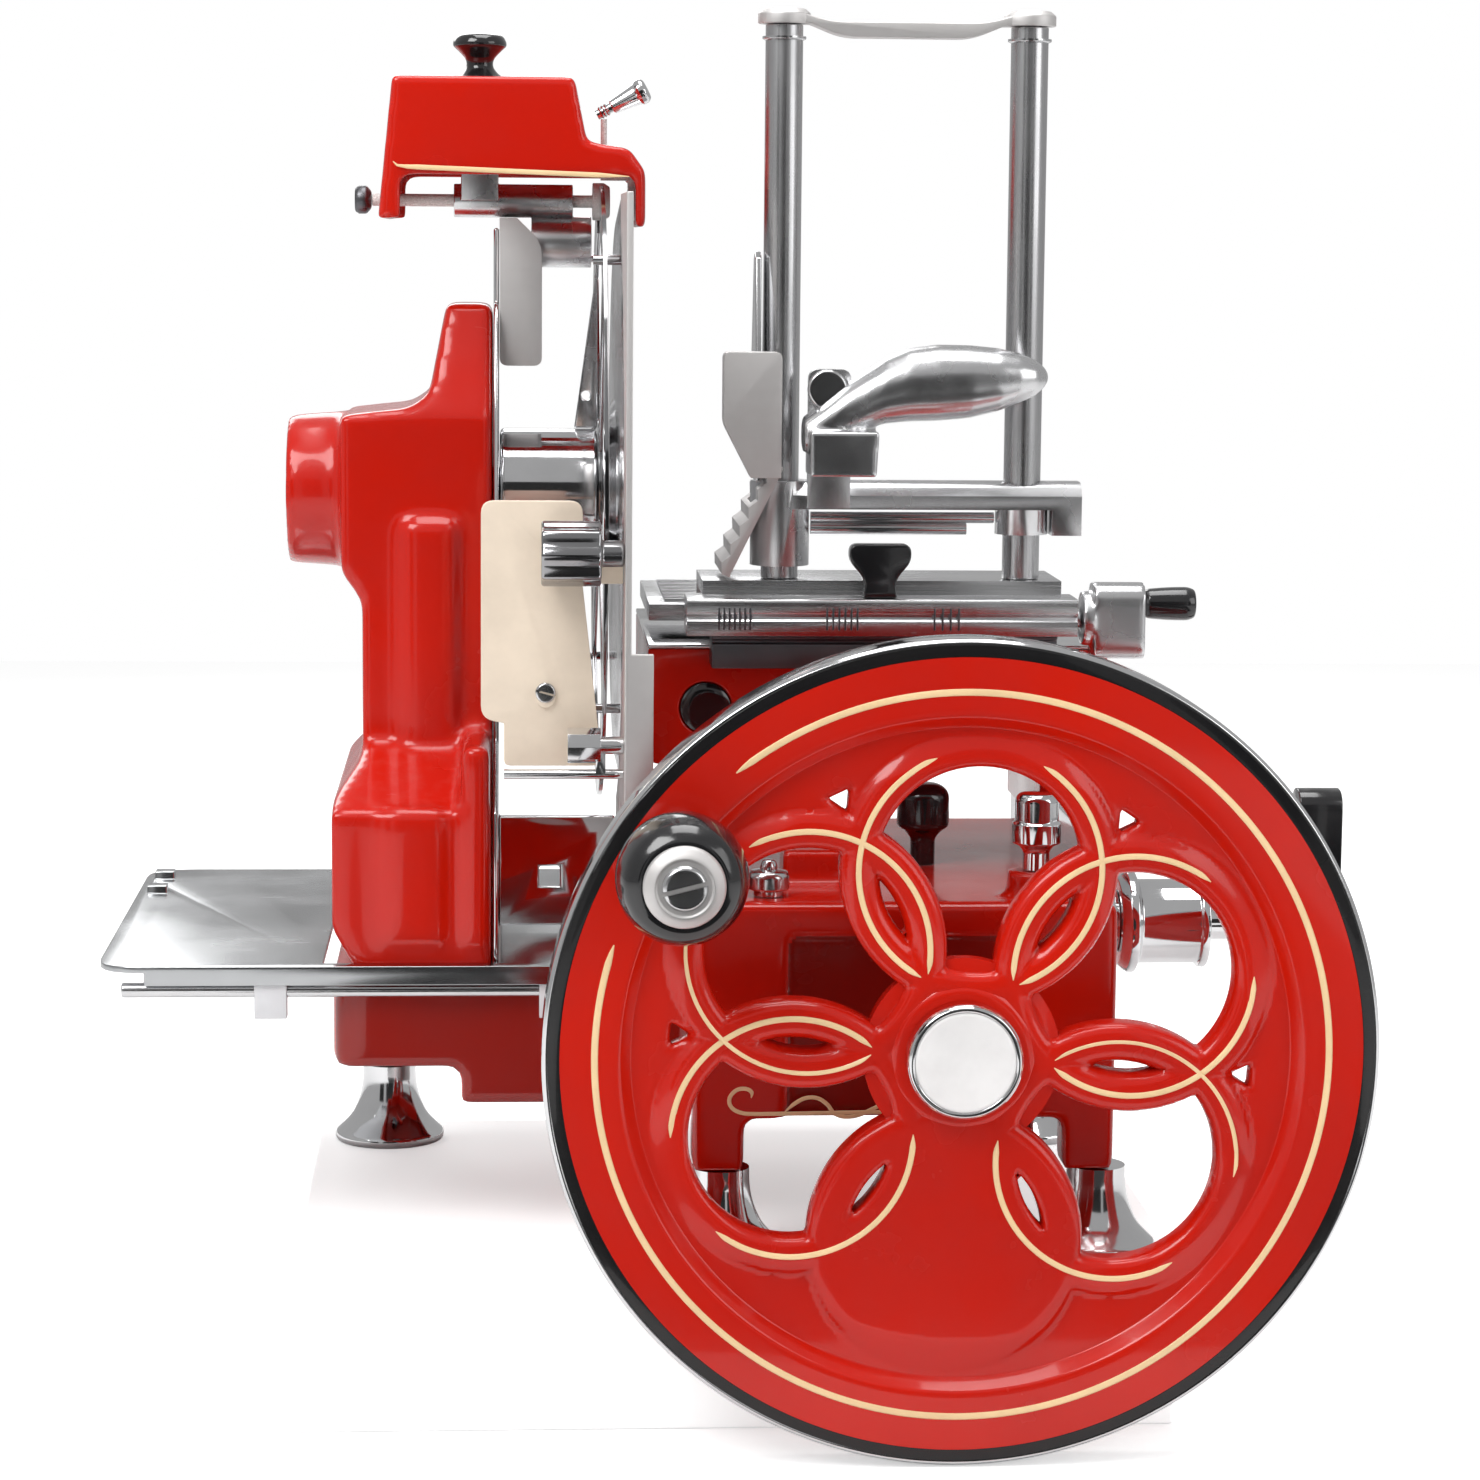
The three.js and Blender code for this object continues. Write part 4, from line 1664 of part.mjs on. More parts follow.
// Meat press: arm on the posts, rod under it, jaw, shield and handle
const press = new THREE.Group();
table.add(press);
const ARM_MIDDLE = (ARM_BOTTOM + ARM_TOP) / 2;
const POST_BORE = POST_RADIUS + RUN_GAP;
const HANDLE_BACK = PRESS_Y - ARM_HUB_RADIUS - RUN_GAP * 3;
const PIVOT_PIN_RADIUS = 4;
const CHEEK_LEFT = 42;
const CHEEK_RIGHT = 62;

// The upright cheek that carries the handle, and the pin through the handle
function cheek() {
  return pushed(outline([
    [CHEEK_LEFT, ARM_BOTTOM + RUN_GAP],
    [CHEEK_RIGHT, ARM_BOTTOM + RUN_GAP],
    [CHEEK_RIGHT, PIVOT_Z + PIVOT_RADIUS, PIVOT_RADIUS / 2],
    [CHEEK_LEFT, PIVOT_Z + PIVOT_RADIUS, PIVOT_RADIUS / 2],
  ]), 'y', HANDLE_BACK + RUN_GAP, PRESS_Y - POST_BORE + RUN_GAP);
}

function pivotPin() {
  const front = HANDLE_BACK - HANDLE_HALF_DEPTH * 2 - RUN_GAP;
  const pin = rod('y', [PIVOT_X, front - RUN_GAP, PIVOT_Z], PIVOT_PIN_RADIUS, HANDLE_BACK + CUT_OVER - front);
  const head = rod('y', [PIVOT_X, front - CUT_OVER, PIVOT_Z], PIVOT_RADIUS, CUT_OVER);
  return join(pin, head);
}

function pressArm() {
  const bar = pushed(outline([
    [PRESS_Y - ARM_HALF_DEPTH, ARM_BOTTOM],
    [PRESS_Y + ARM_HALF_DEPTH, ARM_BOTTOM],
    [PRESS_Y + ARM_HALF_DEPTH, ARM_MIDDLE],
    [PRESS_Y + ARM_HALF_DEPTH * 0.6, ARM_TOP, ARM_HALF_DEPTH * 0.3],
    [PRESS_Y - ARM_HALF_DEPTH * 0.6, ARM_TOP, ARM_HALF_DEPTH * 0.3],
    [PRESS_Y - ARM_HALF_DEPTH, ARM_MIDDLE],
  ]), 'x', POST_LEFT_X, ARM_RIGHT);
  const end = block(
    [ARM_RIGHT - ARM_HUB_RADIUS, PRESS_Y - ARM_HALF_DEPTH, ARM_END_BOTTOM],
    [ARM_RIGHT, PRESS_Y + ARM_HALF_DEPTH, ARM_MIDDLE],
  );
  const bush = rod('z', [POST_RIGHT_X, POST_Y, ARM_END_BOTTOM],
    ARM_HUB_RADIUS * 0.9, ARM_BOTTOM - ARM_END_BOTTOM + SEAT_GAP);
  const hub = rod('z', [POST_LEFT_X, POST_Y, ARM_HUB_BOTTOM], ARM_HUB_RADIUS, ARM_TOP - ARM_HUB_BOTTOM);
  const bores = [POST_LEFT_X, POST_RIGHT_X].map((x) => (
    rod('z', [x, POST_Y, ARM_HUB_BOTTOM - CUT_OVER], POST_BORE, ARM_TOP - ARM_HUB_BOTTOM + CUT_OVER * 2)
  ));
  return cut(join(bar, end, bush, hub, cheek(), pivotPin()), ...bores);
}

function pressRod() {
  const left = POST_LEFT_X + ARM_HUB_RADIUS + RUN_GAP;
  const length = POST_RIGHT_X - ARM_HUB_RADIUS * 0.9 - RUN_GAP - left;
  const upper = rod('x', [left, PRESS_Y, PRESS_ROD_Z], PRESS_ROD_RADIUS, length);
  const lower = rod('x', [left, PRESS_Y, PRESS_ROD_Z - PRESS_ROD_RADIUS * 2],
    PRESS_ROD_RADIUS * 1.1, length * 0.85);
  return join(upper, lower);
}

function pressShield() {
  const half = JAW_HALF_DEPTH * 0.75;
  const right = POST_LEFT_X - POST_BORE - RUN_GAP;
  return pushed(outline([
    [PRESS_Y - half, ARM_TOP + SEAT_GAP],
    [PRESS_Y + half, ARM_TOP + SEAT_GAP],
    [PRESS_Y + half, PIVOT_Z],
    [PRESS_Y + half * 0.3, SHIELD_TOP - SHIELD_THICK],
    [PRESS_Y, SHIELD_TOP],
    [PRESS_Y - half * 0.3, SHIELD_TOP - SHIELD_THICK],
    [PRESS_Y - half, PIVOT_Z],
  ]), 'x', right - SHIELD_THICK, right);
}

function pressJaw() {
  const points = [];
  const run = new THREE.Vector2(JAW_TOP_X - JAW_TIP_X, JAW_TOP_Z - JAW_TIP_Z);
  const out = new THREE.Vector2(run.y, -run.x).normalize();
  for (let step = 0; step <= JAW_TEETH * 2; step += 1) {
    const along = step / (JAW_TEETH * 2);
    const proud = (step % 2) * (JAW_TOOTH / 2);
    points.push([JAW_TIP_X + run.x * along - out.x * proud, JAW_TIP_Z + run.y * along - out.y * proud]);
  }
  points.push([JAW_TOP_X + JAW_THICK * out.x, JAW_TOP_Z + JAW_THICK * out.y]);
  points.push([JAW_TIP_X + JAW_THICK * out.x, JAW_TIP_Z + JAW_THICK * out.y]);
  const plate = pushed(outline(points), 'y', PRESS_Y - JAW_HALF_DEPTH, PRESS_Y + JAW_HALF_DEPTH);
  const postRoom = block(
    [POST_LEFT_X - ARM_HUB_RADIUS - RUN_GAP, PRESS_Y - ARM_HUB_RADIUS - RUN_GAP, JAW_TIP_Z - CUT_OVER],
    [POST_LEFT_X + ARM_HUB_RADIUS, PRESS_Y + ARM_HUB_RADIUS + RUN_GAP, JAW_TOP_Z + CUT_OVER],
  );
  return join(cut(plate, postRoom), jawHood());
}

// The solid block over the jaw's front end, beside the shield
function jawHood() {
  const low = ARM_TOP + RUN_GAP * 5;
  const back = PRESS_Y - JAW_HALF_DEPTH * 0.75 - RUN_GAP;
  return pushed(outline([
    [JAW_TIP_X, HOOD_WAIST, HOOD_CORNER],
    [JAW_TIP_X, HOOD_TOP, HOOD_CORNER],
    [HOOD_RIGHT, HOOD_TOP, HOOD_CORNER],
    [HOOD_RIGHT, low],
    [HOOD_RIGHT / 2, low],
  ]), 'y', HOOD_FRONT, back);
}

// Handle: a forked block round the pivot, a neck and a flat spoon for the palm, as shares of its reach
const HANDLE_RIGHT = 156;
const HANDLE_TOP = 419;
const HANDLE_BLOCK_BOTTOM = 357;
const HANDLE_SPOON_HALF = 24;

function pressHandle() {
  const blockRight = PIVOT_X + PIVOT_RADIUS * 2.5;
  const neck = pushed(outline([
    [PIVOT_X - PIVOT_RADIUS, HANDLE_BLOCK_BOTTOM],
    [blockRight, HANDLE_BLOCK_BOTTOM, PIVOT_RADIUS * 0.5],
    [blockRight + PIVOT_RADIUS * 0.6, HANDLE_BLOCK_BOTTOM + PIVOT_RADIUS * 2.4, PIVOT_RADIUS],
    [HANDLE_RIGHT - PIVOT_RADIUS * 4, PIVOT_Z - PIVOT_RADIUS * 1.2, PIVOT_RADIUS],
    [HANDLE_RIGHT, PIVOT_Z - PIVOT_RADIUS * 0.8, PIVOT_RADIUS],
    [HANDLE_RIGHT - PIVOT_RADIUS, HANDLE_TOP - PIVOT_RADIUS * 0.8, PIVOT_RADIUS],
    [HANDLE_RIGHT - PIVOT_RADIUS * 4.5, HANDLE_TOP, PIVOT_RADIUS],
    [blockRight, HANDLE_TOP - PIVOT_RADIUS, PIVOT_RADIUS],
    [PIVOT_X + PIVOT_RADIUS, PIVOT_Z + PIVOT_RADIUS * 0.6, PIVOT_RADIUS * 0.5],
    [PIVOT_X - PIVOT_RADIUS, PIVOT_Z + PIVOT_RADIUS, PIVOT_RADIUS * 0.5],
  ]), 'y', HANDLE_BACK - HANDLE_HALF_DEPTH * 4, HANDLE_BACK + HANDLE_SPOON_HALF);
  const plan = new THREE.Shape();
  const middle = HANDLE_BACK - HANDLE_HALF_DEPTH;
  const half = HANDLE_HALF_DEPTH;
  const spoon = middle - half * 1.5;
  const spoonX = HANDLE_RIGHT - PIVOT_RADIUS * 4;
  const spoonFront = spoon - HANDLE_SPOON_HALF;
  const spoonBack = spoon + HANDLE_SPOON_HALF;
  const flare = blockRight + PIVOT_RADIUS * 2;
  plan.moveTo(PIVOT_X - PIVOT_RADIUS, middle - half);
  plan.lineTo(blockRight, middle - half);
  plan.quadraticCurveTo(flare, spoonFront, spoonX, spoonFront);
  plan.quadraticCurveTo(HANDLE_RIGHT, spoonFront, HANDLE_RIGHT, spoon);
  plan.quadraticCurveTo(HANDLE_RIGHT, spoonBack, spoonX, spoonBack);
  plan.quadraticCurveTo(flare, spoonBack, blockRight, middle + half);
  plan.lineTo(PIVOT_X - PIVOT_RADIUS, middle + half);
  plan.closePath();
  const pivotBore = rod('y', [PIVOT_X, middle - half - CUT_OVER, PIVOT_Z],
    PIVOT_PIN_RADIUS + RUN_GAP, half * 2 + CUT_OVER * 2);
  return cut(neck.intersect(pushed(plan, 'z', HANDLE_BLOCK_BOTTOM, HANDLE_TOP)), pivotBore);
}

piece(press, 'press_arm', pressArm(), ALUMINIUM);
piece(press, 'press_rod', pressRod(), CHROME);
piece(press, 'press_shield', pressShield(), STEEL);
piece(press, 'press_jaw', pressJaw(), STEEL);
piece(press, 'press_handle', pressHandle(), ALUMINIUM);

export default slicer;
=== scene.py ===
"""Looks of the hand crank meat slicer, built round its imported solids."""

import json
import math

import bmesh
import bpy
import numpy as np
from mathutils import Matrix, Vector

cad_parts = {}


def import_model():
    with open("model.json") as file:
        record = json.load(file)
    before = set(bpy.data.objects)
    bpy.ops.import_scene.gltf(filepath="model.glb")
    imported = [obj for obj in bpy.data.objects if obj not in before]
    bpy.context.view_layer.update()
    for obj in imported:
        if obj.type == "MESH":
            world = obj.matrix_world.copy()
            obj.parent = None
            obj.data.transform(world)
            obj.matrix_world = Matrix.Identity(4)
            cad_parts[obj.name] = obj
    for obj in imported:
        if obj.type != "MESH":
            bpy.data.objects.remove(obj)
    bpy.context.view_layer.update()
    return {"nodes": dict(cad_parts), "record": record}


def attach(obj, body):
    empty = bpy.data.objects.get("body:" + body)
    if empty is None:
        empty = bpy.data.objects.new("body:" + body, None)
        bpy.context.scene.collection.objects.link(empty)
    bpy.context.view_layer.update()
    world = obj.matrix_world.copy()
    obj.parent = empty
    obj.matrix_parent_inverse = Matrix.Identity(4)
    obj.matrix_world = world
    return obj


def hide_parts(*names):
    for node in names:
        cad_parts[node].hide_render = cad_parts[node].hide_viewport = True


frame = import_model()

MM = 0.001
FLOAT = "NodeSocketFloat"
BODIES = frame["record"]["behaviour"]["bodies"]
BODY_OF = {node: body for body, nodes in BODIES.items() for node in nodes}
WHEEL = (103.6, -75, 106.3)
BLADE = (0, 150, 343)
CRANK = (-23.5, 0, 193.64)
FOOT_LEFT, FOOT_RIGHT, FOOT_REAR = -159.5, 175.4, 227.5
POSTS = {"post_left": (30, 75, 0), "post_right": (145, 75, 0)}


# Shader node groups

def new_group(name, inputs, outputs):
    """A shader node group with named sockets; returns the tree, its input node and its output node."""
    tree = bpy.data.node_groups.new(name, "ShaderNodeTree")
    for title, kind, value in inputs:
        socket = tree.interface.new_socket(title, in_out="INPUT", socket_type=kind)
        socket.default_value = value
    for title, kind in outputs:
        tree.interface.new_socket(title, in_out="OUTPUT", socket_type=kind)
    return tree, tree.nodes.new("NodeGroupInput"), tree.nodes.new("NodeGroupOutput")


def add_node(tree, kind, links=None, **settings):
    """A node with its settings, and with links from {input name or number: socket or value}."""
    node = tree.nodes.new(kind)
    for key, value in settings.items():
        setattr(node, key, value)
    for key, value in (links or {}).items():
        if isinstance(value, bpy.types.NodeSocket):
            tree.links.new(value, node.inputs[key])
        else:
            node.inputs[key].default_value = value
    return node


def ranged(tree, value, low, high, to_low=0, to_high=1):
    """The value carried over from one range to another."""
    node = add_node(tree, "ShaderNodeMapRange", {
        "Value": value, "From Min": low, "From Max": high, "To Min": to_low, "To Max": to_high,
    })
    return node.outputs["Result"]


def object_place(tree):
    return add_node(tree, "ShaderNodeTexCoord").outputs["Object"]


def noise(tree, place, scale, detail):
    node = add_node(tree, "ShaderNodeTexNoise", {"Vector": place, "Scale": scale, "Detail": detail})
    return node.outputs["Fac"]


def reckoned(tree, operation, *values):
    """The result of one operation on sockets and numbers."""
    return add_node(tree, "ShaderNodeMath", dict(enumerate(values)), operation=operation).outputs[0]


def smudge_group():
    """Broad cloudy marks from handling, with fine hairline scratches over them."""
    tree, given, out = new_group(
        "smudges",
        [("Cloud Scale", FLOAT, 18), ("Low", FLOAT, 0.1),
         ("High", FLOAT, 0.2)],
        [("Roughness", FLOAT), ("Marks", FLOAT)],
    )
    place = object_place(tree)
    cloud = add_node(tree, "ShaderNodeTexNoise", {
        "Vector": place, "Scale": given.outputs["Cloud Scale"], "Detail": 4, "Roughness": 0.6,
    }).outputs["Fac"]
    slanted = add_node(tree, "ShaderNodeMapping", {
        "Vector": place, "Rotation": (0.4, 0.9, 0.3), "Scale": (12, 900, 60),
    })
    scratch = ranged(tree, noise(tree, slanted.outputs["Vector"], 1, 2), 0.66, 0.74)
    marks = reckoned(tree, "MULTIPLY_ADD", cloud, scratch, 0)
    total = reckoned(tree, "MULTIPLY_ADD", marks, 0.35, ranged(tree, cloud, 0.3, 0.7))
    level = ranged(tree, total, 0, 1, given.outputs["Low"], given.outputs["High"])
    tree.links.new(level, out.inputs["Roughness"])
    tree.links.new(total, out.inputs["Marks"])
    return tree


def grain_group():
    """Brushed lines along one direction; Stretch is small along the lines and large across them."""
    tree, given, out = new_group(
        "grain",
        [("Stretch", "NodeSocketVector", (10, 900, 900)), ("Low", FLOAT, 0.2),
         ("High", FLOAT, 0.4)],
        [("Roughness", FLOAT), ("Height", FLOAT), ("Shade", FLOAT)],
    )
    place = object_place(tree)
    drawn = add_node(tree, "ShaderNodeMapping", {"Vector": place, "Scale": given.outputs["Stretch"]})
    fine = noise(tree, drawn.outputs["Vector"], 1, 3)
    both = reckoned(tree, "ADD", fine, noise(tree, place, 14, 3))
    level = ranged(tree, both, 0.7, 1.3, given.outputs["Low"], given.outputs["High"])
    tree.links.new(level, out.inputs["Roughness"])
    tree.links.new(fine, out.inputs["Height"])
    tree.links.new(ranged(tree, both, 0.7, 1.3), out.inputs["Shade"])
    return tree


def dust_group():
    """A mask of faint settled dust: faces that look up, broken up by noise."""
    tree, given, out = new_group(
        "settled_dust", [("Amount", FLOAT, 0.2)], [("Mask", FLOAT)],
    )
    normal = add_node(tree, "ShaderNodeNewGeometry").outputs["Normal"]
    up = add_node(tree, "ShaderNodeSeparateXYZ", {"Vector": normal}).outputs["Z"]
    facing = ranged(tree, up, 0.6, 1)
    broken = ranged(tree, noise(tree, object_place(tree), 120, 5), 0.45, 0.65)
    both = reckoned(tree, "MULTIPLY", facing, broken)
    tree.links.new(reckoned(tree, "MULTIPLY", both, given.outputs["Amount"]), out.inputs["Mask"])
    return tree


SMUDGES = smudge_group()
GRAIN = grain_group()
DUST = dust_group()


def new_material(name, **sockets):
    """A material with a Principled shader; the named sockets hold plain values."""
    material = bpy.data.materials.new(name)
    material.use_nodes = True
    tree = material.node_tree
    shader = tree.nodes["Principled BSDF"]
    for key, value in sockets.items():
        shader.inputs[key.replace("_", " ")].default_value = value
    return material, tree, shader


def placed(tree, group, **values):
    node = tree.nodes.new("ShaderNodeGroup")
    node.node_tree = group
    for key, value in values.items():
        node.inputs[key.replace("_", " ")].default_value = value
    return node


def mixed(tree, factor, first, second):
    node = add_node(tree, "ShaderNodeMix", data_type="RGBA")
    tree.links.new(factor, node.inputs["Factor"])
    for value, socket in ((first, node.inputs[6]), (second, node.inputs[7])):
        if isinstance(value, bpy.types.NodeSocket):
            tree.links.new(value, socket)
        else:
            socket.default_value = (*value, 1)
    return node.outputs[2]


def bumped(tree, shader, height, strength, distance):
    bump = add_node(tree, "ShaderNodeBump", {
        "Height": height, "Strength": strength, "Distance": distance,
    })
    tree.links.new(bump.outputs["Normal"], shader.inputs["Normal"])


def enamel(name, colour, deep, dust):
    """Glossy stove enamel over a casting: slow colour drift, orange peel and a clear coat."""
    material, tree, shader = new_material(
        name, Coat_Weight=0.45, Coat_Roughness=0.05, Specular_IOR_Level=0.3,
    )
    place = object_place(tree)
    body = mixed(tree, ranged(tree, noise(tree, place, 9, 3), 0.3, 0.7), colour, deep)
    mask = placed(tree, DUST, Amount=dust).outputs["Mask"]
    tree.links.new(mixed(tree, mask, body, (0.75, 0.62, 0.55)), shader.inputs["Base Color"])
    marks = placed(tree, SMUDGES, Low=0.16, High=0.3)
    tree.links.new(marks.outputs["Roughness"], shader.inputs["Roughness"])
    bumped(tree, shader, noise(tree, place, 260, 2), 0.12, 0.0004)
    return material


def bright_metal(name, colour, low, high, cloud=18):
    """Plated or polished metal with handling marks."""
    material, tree, shader = new_material(name, Metallic=1)
    marks = placed(tree, SMUDGES, Low=low, High=high, Cloud_Scale=cloud)
    tree.links.new(marks.outputs["Roughness"], shader.inputs["Roughness"])
    dull = tuple(value * 0.86 for value in colour)
    tree.links.new(mixed(tree, marks.outputs["Marks"], colour, dull), shader.inputs["Base Color"])
    return material


def brushed_metal(name, colour, stretch, low, high):
    """Metal with fine lines left by a belt or a cutter."""
    material, tree, shader = new_material(name, Metallic=1)
    lines = placed(tree, GRAIN, Stretch=stretch, Low=low, High=high)
    tree.links.new(lines.outputs["Roughness"], shader.inputs["Roughness"])
    dull = tuple(value * 0.8 for value in colour)
    tree.links.new(mixed(tree, lines.outputs["Shade"], colour, dull), shader.inputs["Base Color"])
    bumped(tree, shader, lines.outputs["Height"], 0.12, 0.0002)
    return material


def moulded(name, colour, low, high, coat, pores):
    """Moulded plastic or satin paint with small pores."""
    material, tree, shader = new_material(name, Coat_Weight=coat, Coat_Roughness=0.08)
    marks = placed(tree, SMUDGES, Low=low, High=high, Cloud_Scale=30)
    tree.links.new(marks.outputs["Roughness"], shader.inputs["Roughness"])
    light = tuple(min(1, value * 1.15 + 0.004) for value in colour)
    mask = placed(tree, DUST, Amount=0.08).outputs["Mask"]
    body = mixed(tree, marks.outputs["Marks"], colour, light)
    tree.links.new(mixed(tree, mask, body, (0.5, 0.5, 0.5)), shader.inputs["Base Color"])
    bumped(tree, shader, noise(tree, object_place(tree), pores, 3), 0.15, 0.0002)
    return material


def abrasive(name):
    """Bonded grit: coarse grains of two pale greys."""
    material, tree, shader = new_material(name, Roughness=0.95)
    grit = add_node(tree, "ShaderNodeTexVoronoi", {"Vector": object_place(tree), "Scale": 1400})
    colour = mixed(tree, grit.outputs["Distance"], (0.62, 0.6, 0.58), (0.9, 0.88, 0.86))
    tree.links.new(colour, shader.inputs["Base Color"])
    bumped(tree, shader, grit.outputs["Distance"], 0.6, 0.0006)
    return material


RED = enamel("red_enamel", (0.62, 0.011, 0.002), (0.52, 0.008, 0.002), dust=0.02)
# A darker red as painted shade, for the base under the tray, in its recessed panels and inside it.
PAINTED_SHADE_RED = enamel("deep_red_enamel", (0.3, 0.01, 0.005), (0.22, 0.007, 0.004), dust=0.02)
CHROME = bright_metal("chrome_plate", (0.82, 0.82, 0.83), 0.04, 0.13)
POLISHED = bright_metal("polished_steel", (0.72, 0.72, 0.73), 0.12, 0.26)
TRAY_STEEL = bright_metal("tray_steel", (0.5, 0.51, 0.52), 0.14, 0.3, cloud=9)
DARK_STEEL = bright_metal("oiled_dark_steel", (0.16, 0.16, 0.17), 0.25, 0.5)
LONG_GRAIN = brushed_metal("steel_grain_along", (0.74, 0.74, 0.75), (8, 900, 900), 0.16, 0.34)
UP_GRAIN = brushed_metal("steel_grain_up", (0.6, 0.6, 0.61), (700, 700, 6), 0.2, 0.36)
CAST_ALUMINIUM = bright_metal("cast_aluminium", (0.76, 0.76, 0.77), 0.2, 0.33, cloud=26)
BLACK = moulded("black_moulding", (0.008, 0.008, 0.009), 0.1, 0.22, 0.6, 500)
CREAM = moulded("cream_plate_enamel", (0.78, 0.66, 0.53), 0.35, 0.5, 0.15, 420)
STRIPE = moulded("cream_stripe_paint", (0.86, 0.62, 0.34), 0.3, 0.42, 0.3, 300)
NYLON = moulded("white_nylon", (0.72, 0.72, 0.74), 0.4, 0.55, 0, 300)
CAP_WHITE = moulded("hub_cap_white", (0.8, 0.79, 0.785), 0.32, 0.45, 0.2, 700)
SATIN = bright_metal("satin_steel", (0.8, 0.78, 0.77), 0.5, 0.62)
# Chrome with its colour dimmed to stand for dark surroundings mirrored in it: a painted dark reflection.
DARK_REFLECTION_CHROME = bright_metal("guard_chrome", (0.4, 0.4, 0.41), 0.06, 0.17)
STONE = abrasive("abrasive_stone")
BLACK_RING = enamel("black_ring_enamel", (0.008, 0.008, 0.009), (0.012, 0.011, 0.011), dust=0)


# Mesh makers

def as_object(name, mesh):
    obj = bpy.data.objects.new(name, mesh)
    bpy.context.scene.collection.objects.link(obj)
    return obj


SMOOTH_BELOW = 32
WORKED_SHARP = 40
WEB_SHARP = 50
CAST_SHARP = 75
FUSED_SHARP = 80
SHARP_CORNER = 50
FLAT_BELOW = 0.6
MERGE_WITHIN = 1e-6
SAME_WITHIN = 1e-6
ROUND_SHARE = 0.5
RELAX_SHARE = 0.5


def smooth_by_angle(mesh, degrees=SMOOTH_BELOW):
    mesh.polygons.foreach_set("use_smooth", [True] * len(mesh.polygons))
    mesh.set_sharp_from_angle(angle=math.radians(degrees))


def worked_out(obj):
    """The plain mesh that an object's modifiers make."""
    bpy.context.view_layer.update()
    graph = bpy.context.evaluated_depsgraph_get()
    return bpy.data.meshes.new_from_object(
        obj.evaluated_get(graph), preserve_all_data_layers=True, depsgraph=graph,
    )


def applied(obj):
    """The object with its modifiers worked into a plain mesh."""
    mesh = worked_out(obj)
    obj.modifiers.clear()
    obj.data = mesh
    return obj


def closed_mesh(name, verts, faces):
    """A mesh from corners and faces, without loose corners, its faces turned outward."""
    mesh = bpy.data.meshes.new(name)
    mesh.from_pydata(verts, [], faces)
    work = bmesh.new()
    work.from_mesh(mesh)
    bmesh.ops.recalc_face_normals(work, faces=work.faces)
    loose = [vert for vert in work.verts if not vert.link_faces]
    bmesh.ops.delete(work, geom=loose, context="VERTS")
    work.to_mesh(mesh)
    work.free()
    return mesh


def dress(obj, body, material, replaced=()):
    """Gives a finished piece its material and body, and hides the solids that it stands for."""
    obj.data.materials.clear()
    obj.data.materials.append(material)
    if replaced:
        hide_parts(*replaced)
    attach(obj, body)
    return obj


def merged_copy(node):
    """A copy of a solid's mesh, its loose triangles merged and its flat faces whole."""
    mesh = frame["nodes"][node].data.copy()
    work = bmesh.new()
    work.from_mesh(mesh)
    bmesh.ops.remove_doubles(work, verts=work.verts, dist=MERGE_WITHIN)
    bmesh.ops.dissolve_limit(work, angle_limit=math.radians(FLAT_BELOW), verts=work.verts, edges=work.edges)
    work.to_mesh(mesh)
    work.free()
    mesh.materials.clear()
    return as_object(f"{node}_finished", mesh)


def softened(node, material, width, steps=3, angle=34):
    """A solid with its edges rounded over, as casting, tumbling or polishing leaves them."""
    obj = merged_copy(node)
    bevel = obj.modifiers.new("edges", "BEVEL")
    bevel.width = width * MM
    bevel.segments = steps
    bevel.limit_method = "ANGLE"
    bevel.angle_limit = math.radians(angle)
    bevel.use_clamp_overlap = True
    applied(obj)
    smooth_by_angle(obj.data, WORKED_SHARP)
    return dress(obj, BODY_OF[node], material, [node])


def relaxed(obj, voxel, rounds):
    """The object remeshed and relaxed, so that its walls flow into each other."""
    remesh = obj.modifiers.new("cells", "REMESH")
    remesh.mode = "VOXEL"
    remesh.voxel_size = voxel * MM
    relax = obj.modifiers.new("relax", "SMOOTH")
    relax.iterations = rounds
    relax.factor = RELAX_SHARE
    return applied(obj)


def sculpted(node, material, voxel, rounds):
    """A casting: the solid with its walls flowing into each other."""
    obj = relaxed(merged_copy(node), voxel, rounds)
    smooth_by_angle(obj.data, CAST_SHARP)
    return dress(obj, BODY_OF[node], material, [node])


def rounded_profile(points, arc_steps=5):
    """A line through (radius, distance) points, or (radius, distance, rounding) with that corner rounded."""
    line = []
    last = len(points) - 1
    for index, point in enumerate(points):
        corner = Vector(point[:2])
        rounding = point[2] if len(point) > 2 else 0
        if rounding == 0 or index in (0, last):
            line.append(corner)
            continue
        before = Vector(points[index - 1][:2]) - corner
        after = Vector(points[index + 1][:2]) - corner
        reach = min(rounding, before.length / 2, after.length / 2)
        enter = corner + before.normalized() * reach
        leave = corner + after.normalized() * reach
        for step in range(arc_steps + 1):
            share = step / arc_steps
            line.append(enter.lerp(corner, share).lerp(corner.lerp(leave, share), share))
    return line


